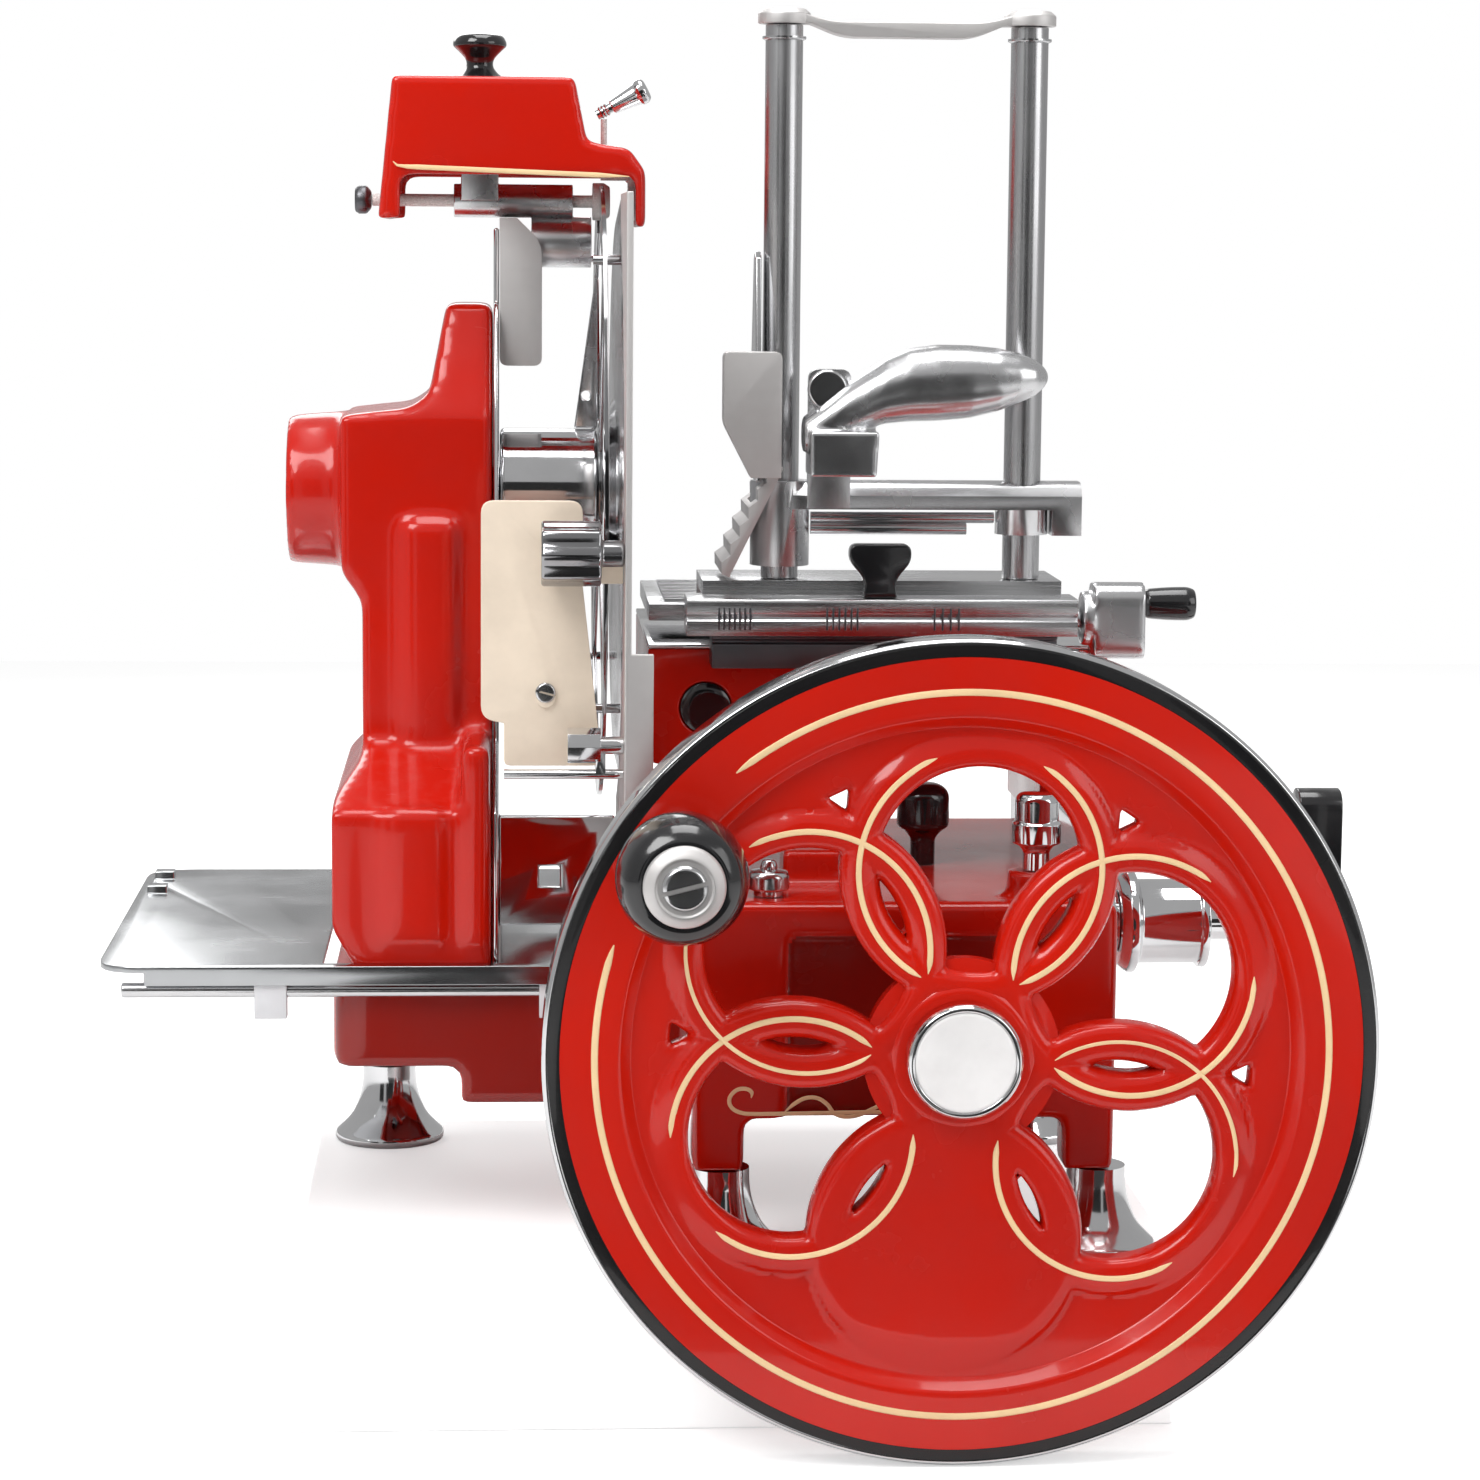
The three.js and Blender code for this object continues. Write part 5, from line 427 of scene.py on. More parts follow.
def turned_mesh(name, points, axis, centre, segments=96):
    """A profile turned about an axis through a centre, in mm; a first or last radius of 0 closes it."""
    line = rounded_profile(points)
    verts = []
    faces = []
    rings = []
    for radius, distance in line:
        count = segments if radius > SAME_WITHIN else 1
        start = len(verts)
        for step in range(count):
            angle = 2 * math.pi * step / segments
            a, b = math.cos(angle) * radius, math.sin(angle) * radius
            place = {"x": (distance, a, b), "y": (b, distance, a), "z": (a, b, distance)}[axis]
            verts.append([(value + shift) * MM for value, shift in zip(place, centre)])
        rings.append((start, count))
    closed = (line[0] - line[-1]).length < SAME_WITHIN
    pairs = list(zip(rings, rings[1:]))
    if closed:
        pairs = pairs[:-1] + [(pairs[-1][0], rings[0])]
    for (first, first_count), (second, second_count) in pairs:
        for step in range(segments):
            after = (step + 1) % segments
            low = [first + step % first_count, first + after % first_count]
            high = [second + after % second_count, second + step % second_count]
            face = list(dict.fromkeys(low + high))
            if len(face) > 2:
                faces.append(face)
    mesh = closed_mesh(name, verts, faces)
    smooth_by_angle(mesh)
    return mesh


def turned(name, body, points, axis, centre, material, replaced=(), segments=96):
    obj = as_object(name, turned_mesh(name, points, axis, centre, segments))
    dress(obj, body, material, replaced)


def turn_all(parts, axis):
    """Turned parts from a table of name: (body, centre, material, solids, steps round, profile)."""
    for name, (body, centre, material, replaced, steps, profile) in parts.items():
        turned(name, body, profile, axis, centre, material, replaced, steps)


def pushed_mesh(name, outline, axis, start, end, bevel=0, steps=3):
    """A closed outline pushed along an axis, in mm, with its edges rounded over."""
    verts = []
    for c in (start, end):
        for a, b in outline:
            place = {"x": (c, a, b), "y": (a, c, b), "z": (a, b, c)}[axis]
            verts.append([value * MM for value in place])
    count = len(outline)
    faces = [list(range(count)), list(range(2 * count - 1, count - 1, -1))]
    faces += [[i, (i + 1) % count, count + (i + 1) % count, count + i] for i in range(count)]
    mesh = closed_mesh(name, verts, faces)
    if bevel:
        work = bmesh.new()
        work.from_mesh(mesh)
        sharp = [edge for edge in work.edges if edge.calc_face_angle(0) > math.radians(SHARP_CORNER)]
        bmesh.ops.bevel(work, geom=sharp, offset=bevel * MM, segments=steps, profile=ROUND_SHARE,
                        affect="EDGES", clamp_overlap=True)
        work.to_mesh(mesh)
        work.free()
    smooth_by_angle(mesh)
    return mesh


def rectangle(left, right, low, high):
    return [(left, low), (right, low), (right, high), (left, high)]


def carved(obj, cutters):
    """The object less its cutters, which are removed afterwards."""
    for cutter in cutters:
        boolean = obj.modifiers.new("carve", "BOOLEAN")
        boolean.operation = "DIFFERENCE"
        boolean.solver = "EXACT"
        boolean.object = cutter
    applied(obj)
    for cutter in cutters:
        bpy.data.objects.remove(cutter)
    smooth_by_angle(obj.data)
    return obj


# Geometry Nodes trees

def new_tree(name, inputs):
    """A Geometry Nodes tree with a geometry in and out, and named inputs."""
    tree = bpy.data.node_groups.new(name, "GeometryNodeTree")
    tree.interface.new_socket("Geometry", in_out="INPUT", socket_type="NodeSocketGeometry")
    for title, kind in inputs:
        tree.interface.new_socket(title, in_out="INPUT", socket_type=kind)
    tree.interface.new_socket("Geometry", in_out="OUTPUT", socket_type="NodeSocketGeometry")
    return tree, tree.nodes.new("NodeGroupInput"), tree.nodes.new("NodeGroupOutput")


def end_tree(tree, given, out, geometry):
    """Closes a tree: real geometry with its material on it."""
    real = add_node(tree, "GeometryNodeRealizeInstances", {"Geometry": geometry})
    coated = add_node(tree, "GeometryNodeSetMaterial", {
        "Geometry": real.outputs["Geometry"], "Material": given.outputs["Material"],
    })
    tree.links.new(coated.outputs["Geometry"], out.inputs["Geometry"])
    return tree


def stripe_tree():
    """A painted line along a curve: a flat profile whose width follows the curve's own radius."""
    tree, given, out = new_tree("painted_line", [
        ("Width", FLOAT), ("Thickness", FLOAT), ("Material", "NodeSocketMaterial"),
    ])
    across = add_node(tree, "GeometryNodeCurvePrimitiveCircle", {"Resolution": 8, "Radius": 1}, mode="RADIUS")
    size = add_node(tree, "ShaderNodeCombineXYZ", {
        "X": given.outputs["Thickness"], "Y": given.outputs["Width"], "Z": 1,
    })
    flat = add_node(tree, "GeometryNodeTransform", {
        "Geometry": across.outputs["Curve"], "Scale": size.outputs["Vector"],
    })
    width = add_node(tree, "GeometryNodeInputRadius").outputs["Radius"]
    body = add_node(tree, "GeometryNodeCurveToMesh", {
        "Curve": given.outputs["Geometry"], "Profile Curve": flat.outputs["Geometry"],
        "Fill Caps": True, "Scale": width,
    })
    smooth = add_node(tree, "GeometryNodeSetShadeSmooth", {"Geometry": body.outputs["Mesh"]})
    return end_tree(tree, given, out, smooth.outputs["Geometry"])


def scatter_tree():
    """A copy of a small part on every point of the mesh, turned to the point's own rotation."""
    tree, given, out = new_tree("small_parts", [
        ("Part", "NodeSocketObject"), ("Size", FLOAT), ("Material", "NodeSocketMaterial"),
    ])
    part = add_node(tree, "GeometryNodeObjectInfo", {"Object": given.outputs["Part"]})
    spin = add_node(tree, "GeometryNodeInputNamedAttribute", {"Name": "spin"}, data_type="FLOAT_VECTOR")
    put = add_node(tree, "GeometryNodeInstanceOnPoints", {
        "Points": given.outputs["Geometry"], "Instance": part.outputs["Geometry"],
        "Rotation": spin.outputs["Attribute"], "Scale": given.outputs["Size"],
    })
    return end_tree(tree, given, out, put.outputs["Instances"])


def grown(obj, tree, **values):
    """The object with a tree's result worked into a plain mesh, its inputs set by identifier."""
    modifier = obj.modifiers.new(tree.name, "NODES")
    modifier.node_group = tree
    sockets = {item.name: item.identifier for item in tree.interface.items_tree if item.in_out == "INPUT"}
    for key, value in values.items():
        modifier[sockets[key.replace("_", " ")]] = value
    mesh = worked_out(obj)
    name = obj.name
    bpy.data.objects.remove(obj)
    return as_object(name, mesh)


LINE = stripe_tree()
SCATTER = scatter_tree()


TIP_SHARE = 0.4
PAINT_THICK = 0.25
PAINT_PROUD = 0.05


def painted_line(name, body, path, width, thickness=PAINT_THICK, taper=4):
    """A pinstripe along points in mm, drawn in to a point at its ends over a few steps."""
    curve = bpy.data.curves.new(name, "CURVE")
    curve.dimensions = "3D"
    spline = curve.splines.new("POLY")
    spline.points.add(len(path) - 1)
    last = len(path) - 1
    for index, point in enumerate(path):
        spline.points[index].co = (*[value * MM for value in point], 1)
        spline.points[index].radius = min(1, (min(index, last - index) + TIP_SHARE) / taper)
    curve.twist_mode = "MINIMUM"
    obj = grown(as_object(name, curve), LINE, Width=width / 2 * MM, Thickness=thickness * MM,
                Material=STRIPE)
    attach(obj, body)


def smooth_path(points, steps):
    """A rounded line through points, with that many steps between two of them."""
    path = []
    ends = [points[0]] + list(points) + [points[-1]]
    for index in range(1, len(ends) - 2):
        a, b, c, d = (np.array(ends[index + offset]) for offset in (-1, 0, 1, 2))
        for step in range(steps):
            share = step / steps
            path.append(tuple(0.5 * (2 * b + (c - a) * share + (2 * a - 5 * b + 4 * c - d) * share ** 2
                                     + (3 * b - a - 3 * c + d) * share ** 3)))
    return path + [tuple(points[-1])]


# Flywheel

WEB_FRONT = -68
WEB_BACK = -58
RIM_INNER = 147
RING_CENTRE = 84
RING_RADIUS = 54
RING_HALF = 8
RING_RISE = 4.2
SLOT_RADIUS = 44.5
EDGE_ROUND = 2.4
PETAL_TURN = -4.4
RING_ANGLES = (30, 90, 150, 210, 330)
SIXTH = 60
CORNERS = (0, 60, 120, 180)
CORNER_RADIUS = 126.5
CORNER_HALF = 5.5
CORNER_TOP_SHARE = 0.7
CORNER_SLANT = (0.5, 0.87)
FILLED = 270
FADE_GAP, FADE_WIDTH = 1, 16
RING_EDGE = 0.5
WEB_TUCK = 0.6
WEB_STEP = 1.7
WEB_MARGIN = 2
FAR_OUTSIDE = -1e3
RIM_LINE_RADIUS = 163.6
RIM_LINE_START, RIM_LINE_TURN, RIM_LINE_STEPS = 128.6, 1.5, 219
RIM_LINE_WIDTH = 3.1
RING_LINE_WIDTH = 2.7
RING_LINE_PROUD = 0.12
RING_LINE_DEPTH = 2.6
RING_LINE_REACH = (41, 135)
RING_LINE_TURN = 2.0
RING_LINE_SHORTEST = 7


def turned_to(degrees, radius):
    angle = math.radians(degrees + PETAL_TURN)
    return math.cos(angle) * radius, math.sin(angle) * radius


def distance_from(u, v, degrees):
    cu, cv = turned_to(degrees, RING_CENTRE)
    return np.hypot(u - cu, v - cv)


def openness(u, v):
    """How far a point of the web lies inside one of its openings, in mm; below zero in the metal."""
    best = np.full(np.shape(u), FAR_OUTSIDE)
    inner, outer = RING_RADIUS - RING_HALF, RING_RADIUS + RING_HALF
    for degrees in RING_ANGLES:
        before = distance_from(u, v, degrees - SIXTH) - outer
        after = distance_from(u, v, degrees + SIXTH) - outer
        window = np.minimum(inner - distance_from(u, v, degrees), np.minimum(before, after))
        best = np.maximum(best, window)
    for degrees in range(0, 360, SIXTH):
        before = SLOT_RADIUS - distance_from(u, v, degrees - SIXTH // 2)
        after = SLOT_RADIUS - distance_from(u, v, degrees + SIXTH // 2)
        best = np.maximum(best, np.minimum(before, after))
    for degrees in CORNERS:
        angle = math.radians(degrees + PETAL_TURN)
        along = u * math.cos(angle) + v * math.sin(angle) - CORNER_RADIUS
        across = np.abs(-u * math.sin(angle) + v * math.cos(angle))
        slanted = (along + CORNER_HALF) * CORNER_SLANT[0] - across * CORNER_SLANT[1]
        best = np.maximum(best, np.minimum(CORNER_HALF * CORNER_TOP_SHARE - along, slanted))
    return best


def web_height(u, v):
    """The web's front above its flat, in mm: crowned rings, a filled sector and rounded edges."""
    radius = np.hypot(u, v)
    fade = np.clip((RIM_INNER - FADE_GAP - radius) / FADE_WIDTH, 0, 1)
    rise = np.zeros(np.shape(u))
    for degrees in RING_ANGLES + (FILLED,):
        off = (distance_from(u, v, degrees) - RING_RADIUS) / (RING_HALF + RING_EDGE)
        ring = RING_RISE * np.sqrt(np.clip(1 - off * off, 0, 1))
        rise = np.maximum(rise, ring)
    inside = distance_from(u, v, FILLED) < RING_RADIUS
    rise = np.where(inside, RING_RISE, rise) * fade
    depth = np.clip(-openness(u, v), 0, EDGE_ROUND)
    drop = EDGE_ROUND - np.sqrt(np.clip(EDGE_ROUND ** 2 - (EDGE_ROUND - depth) ** 2, 0, None))
    return rise - drop


def web_mesh():
    """The pierced web as a closed mesh: a grid clipped to the openings, with a front, a back and walls."""
    count = math.ceil((RIM_INNER + WEB_MARGIN) / WEB_STEP)
    line = np.arange(-count, count + 1) * WEB_STEP
    u, v = np.meshgrid(line, line, indexing="ij")
    metal = np.minimum(-openness(u, v), RIM_INNER + WEB_TUCK - np.hypot(u, v))
    points = []
    known = {}
    faces = []

    def corner(i, j):
        if (i, j) not in known:
            known[i, j] = len(points)
            points.append((u[i, j], v[i, j]))
        return known[i, j]

    def crossing(a, b):
        key = (min(a, b), max(a, b))
        if key not in known:
            share = metal[key[0]] / (metal[key[0]] - metal[key[1]])
            known[key] = len(points)
            points.append((u[key[0]] + (u[key[1]] - u[key[0]]) * share,
                           v[key[0]] + (v[key[1]] - v[key[0]]) * share))
        return known[key]

    inside = metal > 0
    for i in range(2 * count):
        for j in range(2 * count):
            ring = ((i, j), (i + 1, j), (i + 1, j + 1), (i, j + 1))
            flags = [inside[cell] for cell in ring]
            if all(flags):
                faces.append([corner(*cell) for cell in ring])
                continue
            if not any(flags):
                continue
            face = []
            for index in range(4):
                a, b = ring[index], ring[(index + 1) % 4]
                if flags[index]:
                    face.append(corner(*a))
                if flags[index] != flags[(index + 1) % 4]:
                    face.append(crossing(a, b))
            faces.append(face)
    place = np.array(points)
    front = WEB_FRONT - web_height(place[:, 0], place[:, 1])
    total = len(points)
    verts = [((WHEEL[0] + a) * MM, y * MM, (WHEEL[2] + b) * MM) for (a, b), y in zip(points, front)]
    verts += [((WHEEL[0] + a) * MM, WEB_BACK * MM, (WHEEL[2] + b) * MM) for a, b in points]
    sides = {pair for face in faces for pair in zip(face, face[1:] + face[:1])}
    walls = [[b, a, a + total, b + total] for a, b in sides if (b, a) not in sides]
    back = [[index + total for index in reversed(face)] for face in faces]
    mesh = closed_mesh("flywheel_web", verts, faces + back + walls)
    smooth_by_angle(mesh, WEB_SHARP)
    return mesh


def on_wheel(radius, degrees, height):
    angle = math.radians(degrees)
    return (WHEEL[0] + math.cos(angle) * radius, WHEEL[1] - height, WHEEL[2] + math.sin(angle) * radius)


def runs(flags):
    """First and last index of each run of true flags."""
    start = None
    for index, flag in enumerate(list(flags) + [False]):
        if flag and start is None:
            start = index
        if not flag and start is not None:
            yield start, index - 1
            start = None


def wheel_stripes():
    """The line round the rim's flat face and the lines on the crowned rings."""
    rim = [on_wheel(RIM_LINE_RADIUS, RIM_LINE_START - step * RIM_LINE_TURN, PAINT_PROUD)
           for step in range(RIM_LINE_STEPS)]
    painted_line("stripe_rim", "wheel", rim, RIM_LINE_WIDTH, taper=2)
    for order, degrees in enumerate(RING_ANGLES):
        cu, cv = turned_to(degrees, RING_CENTRE)
        turns = np.radians(np.arange(0, 720, RING_LINE_TURN) + degrees + PETAL_TURN)
        u = cu + np.cos(turns) * RING_RADIUS
        v = cv + np.sin(turns) * RING_RADIUS
        radius = np.hypot(u, v)
        near, far = RING_LINE_REACH
        good = (openness(u, v) < -RING_LINE_DEPTH) & (radius > near) & (radius < far)
        height = web_height(u, v) + RING_LINE_PROUD
        once = len(turns) // 2
        done = 0
        for start, end in runs(good):
            if end - start < RING_LINE_SHORTEST or start >= once or start == 0 and good[-1]:
                continue
            path = [(WHEEL[0] + u[k], WEB_FRONT - height[k], WHEEL[2] + v[k]) for k in range(start, end + 1)]
            painted_line(f"stripe_ring_{order}_{done}", "wheel", path, RING_LINE_WIDTH, taper=3)
            done += 1


WHEEL_AXIS = (WHEEL[0], 0, WHEEL[2])
WHEEL_RINGS = {
    "flywheel_rim": ("wheel", WHEEL_AXIS, RED, (), 256, [
        (146, -67.6), (147.5, -68, 2), (152.6, -74.6, 2.5), (155, -75, 1), (179, -75), (179, -74), (179, -52),
        (175, -51, 1), (153, -57.6, 2), (146, -58.4), (146, -67.6),
    ]),
    "flywheel_ring": ("wheel", WHEEL_AXIS, BLACK_RING, (), 256, [
        (178.9, -74.2), (179, -75.0, 0.3), (181.5, -74.7, 1), (184.2, -74.2), (184.2, -53), (178.9, -53),
        (178.9, -74.2),
    ]),
    "flywheel_edge": ("wheel", WHEEL_AXIS, CHROME, (), 256, [
        (184, -73.9, 0.3), (185.4, -74.4, 1), (187, -72.4, 1), (187, -52.4, 1), (185.4, -51, 1), (179, -51),
        (179, -53.2), (184, -53.2), (184, -73.9),
    ]),
    "flywheel_hub": ("wheel", WHEEL_AXIS, RED, (), 128, [
        (0, -73), (30.5, -73, 3), (34, -70, 3), (38, -68, 3), (44, -67.6), (44, -60), (32, -57.5, 3),
        (32, -51, 1.5), (17, -41, 1), (17, -37), (0, -37),
    ]),
    "hub_cap_face": ("wheel", WHEEL_AXIS, CAP_WHITE, (), 96, [
        (0, -84.2), (21.4, -84, 1), (22.4, -83.4), (22.4, -80), (0, -80),
    ]),
    "hub_cap_edge": ("wheel", WHEEL_AXIS, CHROME, ["hub_cap"], 96, [
        (22.2, -81), (22.6, -83.6, 0.4), (24.2, -84.2, 0.8), (26, -82.2, 1.2), (26, -73.3), (22.2, -73.3),
        (22.2, -81),
    ]),
}

dress(as_object("flywheel_web", web_mesh()), "wheel", RED, ["flywheel"])
turn_all(WHEEL_RINGS, "y")
wheel_stripes()


# Turned parts

FEET = {
    "foot_front_left": (0, 0, 0), "foot_front_right": (FOOT_RIGHT, 0, 0),
    "foot_rear_left": (FOOT_LEFT, FOOT_REAR, 0), "foot_rear_right": (FOOT_RIGHT, FOOT_REAR, 0),
}
BELL = [
    (0, 0), (27.2, 0, 0.8), (28, 1.6, 0.8), (28, 4.4, 1.4), (24.5, 7.6, 4), (19.6, 12.8, 5),
    (15.4, 22, 6), (13.7, 31, 4), (13.5, 39.9), (0, 39.9),
]
CRANK_PARTS = {
    "crank_pin_screw": ("wheel", CRANK, SATIN, ["crank_pin"], 96, [
        (0, -137.4), (11.8, -137.4, 0.5), (12.6, -138.2, 0.6), (14, -137.6, 0.8), (17.2, -135.4, 2.4),
        (17.8, -134, 0.6), (17.8, -133.2), (6, -133.1), (6, -76), (11.6, -75.6), (11.6, -75.2), (6, -75),
        (6, -53.2), (0, -53.2),
    ]),
    "crank_grip_body": ("grip", CRANK, BLACK, ["crank_grip"], 96, [
        (8, -132.9), (19.5, -132.9, 1.5), (25.2, -128.5, 6), (28.8, -118, 10), (28.9, -106, 10),
        (26.4, -93, 8), (21, -84.6, 3), (14, -83.2), (8, -83.2), (8, -132.9),
    ]),
}
BLADE_PARTS = {
    "blade_disc": ("blade_unit", BLADE, POLISHED, ["blade"], 192, [
        (0, -46.8), (38, -46.9, 1), (42, -45.6, 3), (58, -43.9, 6), (120, -43.3, 2), (132, -43.05),
        (142, -43.0), (141.9, -43.3), (130, -45.95, 2), (46, -46, 1), (40, -50, 1), (0, -50),
    ]),
    "blade_centre": ("blade_unit", BLADE, CHROME, (), 96, [
        (0, -45.2), (17, -45.2, 1), (18.5, -46.3), (18.5, -47.4), (0, -47.4),
    ]),
    "hub_sleeve_tube": ("base", BLADE, CHROME, ["hub_sleeve"], 96, [
        (12, -102.3), (28.4, -102.3, 1), (30, -100.8, 1), (30, -56, 1), (28.6, -54.9), (12, -54.9),
        (12, -102.3),
    ]),
    "column_cap_dome": ("base", BLADE, RED, ["column_cap"], 96, [
        (0, -204.9), (19, -204.4, 4), (27, -201, 4), (28.9, -197.5, 2), (28.9, -195.2), (0, -195.2),
    ]),
}
FITTINGS = {
    "cover_knob_spool": ("spool_knob", (-112, 150, 0), BLACK, ["cover_knob"], 96, [
        (0, 563.8), (6, 563.2, 3), (11.4, 561.6, 2.5), (12.9, 558.6, 1.2), (12.9, 556.8, 1), (10, 554.2, 2),
        (6.6, 550.6, 3), (6.2, 547, 3), (9, 543.4, 2), (12.4, 541.4, 0.8), (12.4, 541.1), (3, 541.0),
        (3, 538.1), (0, 538.1),
    ]),
    "oiler_front_right_cup": ("base", (146, 10, 0), CHROME, ["oiler_front_right"], 64, [
        (0, 213.2), (8.4, 213.0, 2), (10.2, 210.4, 1.4), (10.2, 200, 1), (11.4, 199, 0.4), (11.4, 190, 0.6),
        (8, 188.4, 1), (6.2, 186, 1), (6.2, 177.4), (0, 177.4),
    ]),
    "oiler_front_left_cup": ("base", (22, 10, 0), POLISHED, ["oiler_front_left"], 64, [
        (0, 182.2), (3, 182, 1), (4, 179, 1), (4, 177.6), (8.8, 176.8, 1), (9.8, 174.6, 0.8),
        (9.8, 168.6, 0.6), (7, 167.6), (7, 165.4), (0, 165.4),
    ]),
    "oiler_rear_cup": ("base", (103, 100, 0), BLACK, ["oiler_rear"], 64, [
        (0, 205.2), (8, 204.6, 3), (12.6, 200.6, 3), (12.8, 184, 2), (9, 181.6, 2), (6, 178, 2),
        (6, 165.4), (0, 165.4),
    ]),
}
FEED_GRIP = {"feed_grip_body": ("table_crank_grip", (0, 52, 297), BLACK, ["feed_grip"], 64, [
    (3.2, 200.4), (5.8, 200.5, 0.8), (7.0, 202.5, 1.5), (7.8, 212, 6), (7.9, 221.5, 2), (6.6, 224.7, 1.2),
    (4.6, 224.9), (3.2, 224.6), (3.2, 200.4),
])}
BUTTON = {"carriage_button_cap": ("carriage", (-4.6, 0, 244.9), BLACK, ["carriage_button"], 64, [
    (0, 68.6), (9, 68.8, 2), (12.2, 70.2, 0.8), (12.2, 72.6), (0, 72.6),
])}
TRAY_RAIL = {"tray_rail_rod": ("base", (0, 28.2, 118), POLISHED, ["tray_rail"], 48, [
    (0, -276.9), (3.1, -276.8, 0.4), (3.5, -276, 0.3), (3.5, -60.2), (0, -60.1),
])}
POST_TUBE = [(0, 306.9), (8.75, 306.9, 0.4), (8.75, 564.6, 0.5), (0, 564.6)]
POST_COLLAR = [(8.8, 559.2), (10.2, 559.2), (10.2, 558.0, 0.4), (8.8, 557.4), (8.8, 559.2)]

for foot, foot_place in FEET.items():
    turned(foot + "_bell", "base", BELL, "z", foot_place, CHROME, [foot])
turn_all(CRANK_PARTS, "y")
turn_all(BLADE_PARTS, "x")
for post, post_place in POSTS.items():
    turned(post + "_tube", "table", POST_TUBE, "z", post_place, UP_GRAIN, [post], 64)
    turned(post + "_collar", "table", POST_COLLAR, "z", post_place, POLISHED, (), 64)
turn_all(FITTINGS, "z")
turn_all(FEED_GRIP, "x")
turn_all(BUTTON, "y")
turn_all(TRAY_RAIL, "x")


# Cast, bent and machined parts, as their solids with worked edges

# The blade guard and the deflector knob take chrome dimmed as a painted dark reflection.
SOFT_EDGES = {
    "column_plate": (CHROME, 1.2), "blade_guard": (DARK_REFLECTION_CHROME, 1.4),
    "guard_arm": (CAST_ALUMINIUM, 1.2), "blade_shaft": (POLISHED, 0.5), "flywheel_shaft": (POLISHED, 0.5),
    "cross_shaft": (POLISHED, 0.5), "drive_chain": (DARK_STEEL, 0.4), "receiving_tray": (TRAY_STEEL, 0.5),
    "tray_clip_left": (NYLON, 0.9), "tray_clip_right": (NYLON, 0.9), "gauge_plate": (SATIN, 1.6),
    "deflector_plate": (CREAM, 1.0), "deflector_knob": (DARK_REFLECTION_CHROME, 1.4), "deflector_rod": (CHROME, 0.6),
    "thickness_barrel": (CHROME, 0.5),
    "sharpener_body": (CAST_ALUMINIUM, 1.4), "sharpener_bracket": (SATIN, 1.8),
    "grinding_stone": (STONE, 0.6), "stone_button": (DARK_STEEL, 0.8), "honing_stone": (STONE, 0.8),
    "slide_rail_left": (CHROME, 0.9), "slide_rail_right": (CHROME, 0.9),
    "carriage_frame": (RED, 2.4), "carriage_plate": (CHROME, 0.5), "table_rail": (DARK_STEEL, 0.8),
    "feed_table": (LONG_GRAIN, 1.0), "top_bar": (SATIN, 2.0), "lock_knob": (BLACK, 0.8),
    "press_arm": (CAST_ALUMINIUM, 2.4), "press_rod": (POLISHED, 0.5), "press_shield": (POLISHED, 0.7),
    "press_jaw": (SATIN, 1.4),
}
CAST = {
    "base_frame": (RED, 2.9, 3), "sharpener_cover": (RED, 1.7, 20),
    "feed_crank": (CAST_ALUMINIUM, 1.0, 4),
}


def worked_parts():
    for node, (material, width) in SOFT_EDGES.items():
        softened(node, material, width)
    for node, casting in CAST.items():
        sculpted(node, *casting)


# The column, the painted shade on the base, the press lever, the dial and the small trim

def lofted_mesh(name, y, stations, sides=40, power=2.4):
    """Rings across X about a depth y, each (x, middle z, half depth, half height), joined in turn."""
    verts = []
    for x, z, deep, high in stations:
        for step in range(sides):
            angle = 2 * math.pi * step / sides
            c, s = math.cos(angle), math.sin(angle)
            reach = (abs(c) ** power + abs(s) ** power) ** (-1 / power)
            verts.append((x * MM, (y + c * reach * deep) * MM, (z + s * reach * high) * MM))
    faces = [list(range(sides)), list(range(len(verts) - 1, len(verts) - sides - 1, -1))]
    for ring in range(len(stations) - 1):
        for step in range(sides):
            a, b = ring * sides + step, ring * sides + (step + 1) % sides
            faces.append([a, b, b + sides, a + sides])
    return closed_mesh(name, verts, faces)


def fused(name, meshes, voxel, rounds):
    """Several closed meshes run together into one cast skin."""
    work = bmesh.new()
    for mesh in meshes:
        work.from_mesh(mesh)
    total = bpy.data.meshes.new(name)
    work.to_mesh(total)
    work.free()
    obj = relaxed(as_object(name, total), voxel, rounds)
    smooth_by_angle(obj.data, FUSED_SHARP)
    return obj


# Each raised band: left, right, nearest, farthest (0 for the foot's own reach), low, high, edge
COLUMN_BANDS = (
    (-149, -122, 40, 57, 200, 332, 5),
    (-158, -125.5, 60, 0, 136, 203, 6),
    (-119.5, -106.6, 50, 0, 136, 232, 4),
)
FOOT_REACH = {-1: 121.5, 1: 105.5}
COLUMN_VOXEL, COLUMN_ROUNDS = 2.5, 12


def column():
    """The column's casting: its solid with the raised bands and the fin of its front and back."""
    core = merged_copy("blade_column")
    extra = []
    for side, foot in FOOT_REACH.items():
        for left, right, near, far, low, high, bevel in COLUMN_BANDS:
            ends = sorted((BLADE[1] + side * near, BLADE[1] + side * (far or foot)))
            extra.append(pushed_mesh("band", rectangle(left, right, low, high), "y", *ends, bevel))
    obj = fused("blade_column_cast", [core.data] + extra, COLUMN_VOXEL, COLUMN_ROUNDS)
    bpy.data.objects.remove(core)
    dress(obj, "base", RED, ["blade_column"])


WING_EDGE = -14.5
PANEL_DEPTH, PANEL_TOP = (-9.5, 20), 150
INSIDE_DEPTH, INSIDE_WIDTH, INSIDE_TOP = (20, 242), (-12, 180), 158
STEEP_SHARE, EVEN_SHARE, SLIGHT_SHARE = 0.6, 0.5, 0.3


def between(value, span):
    return span[0] < value < span[1]


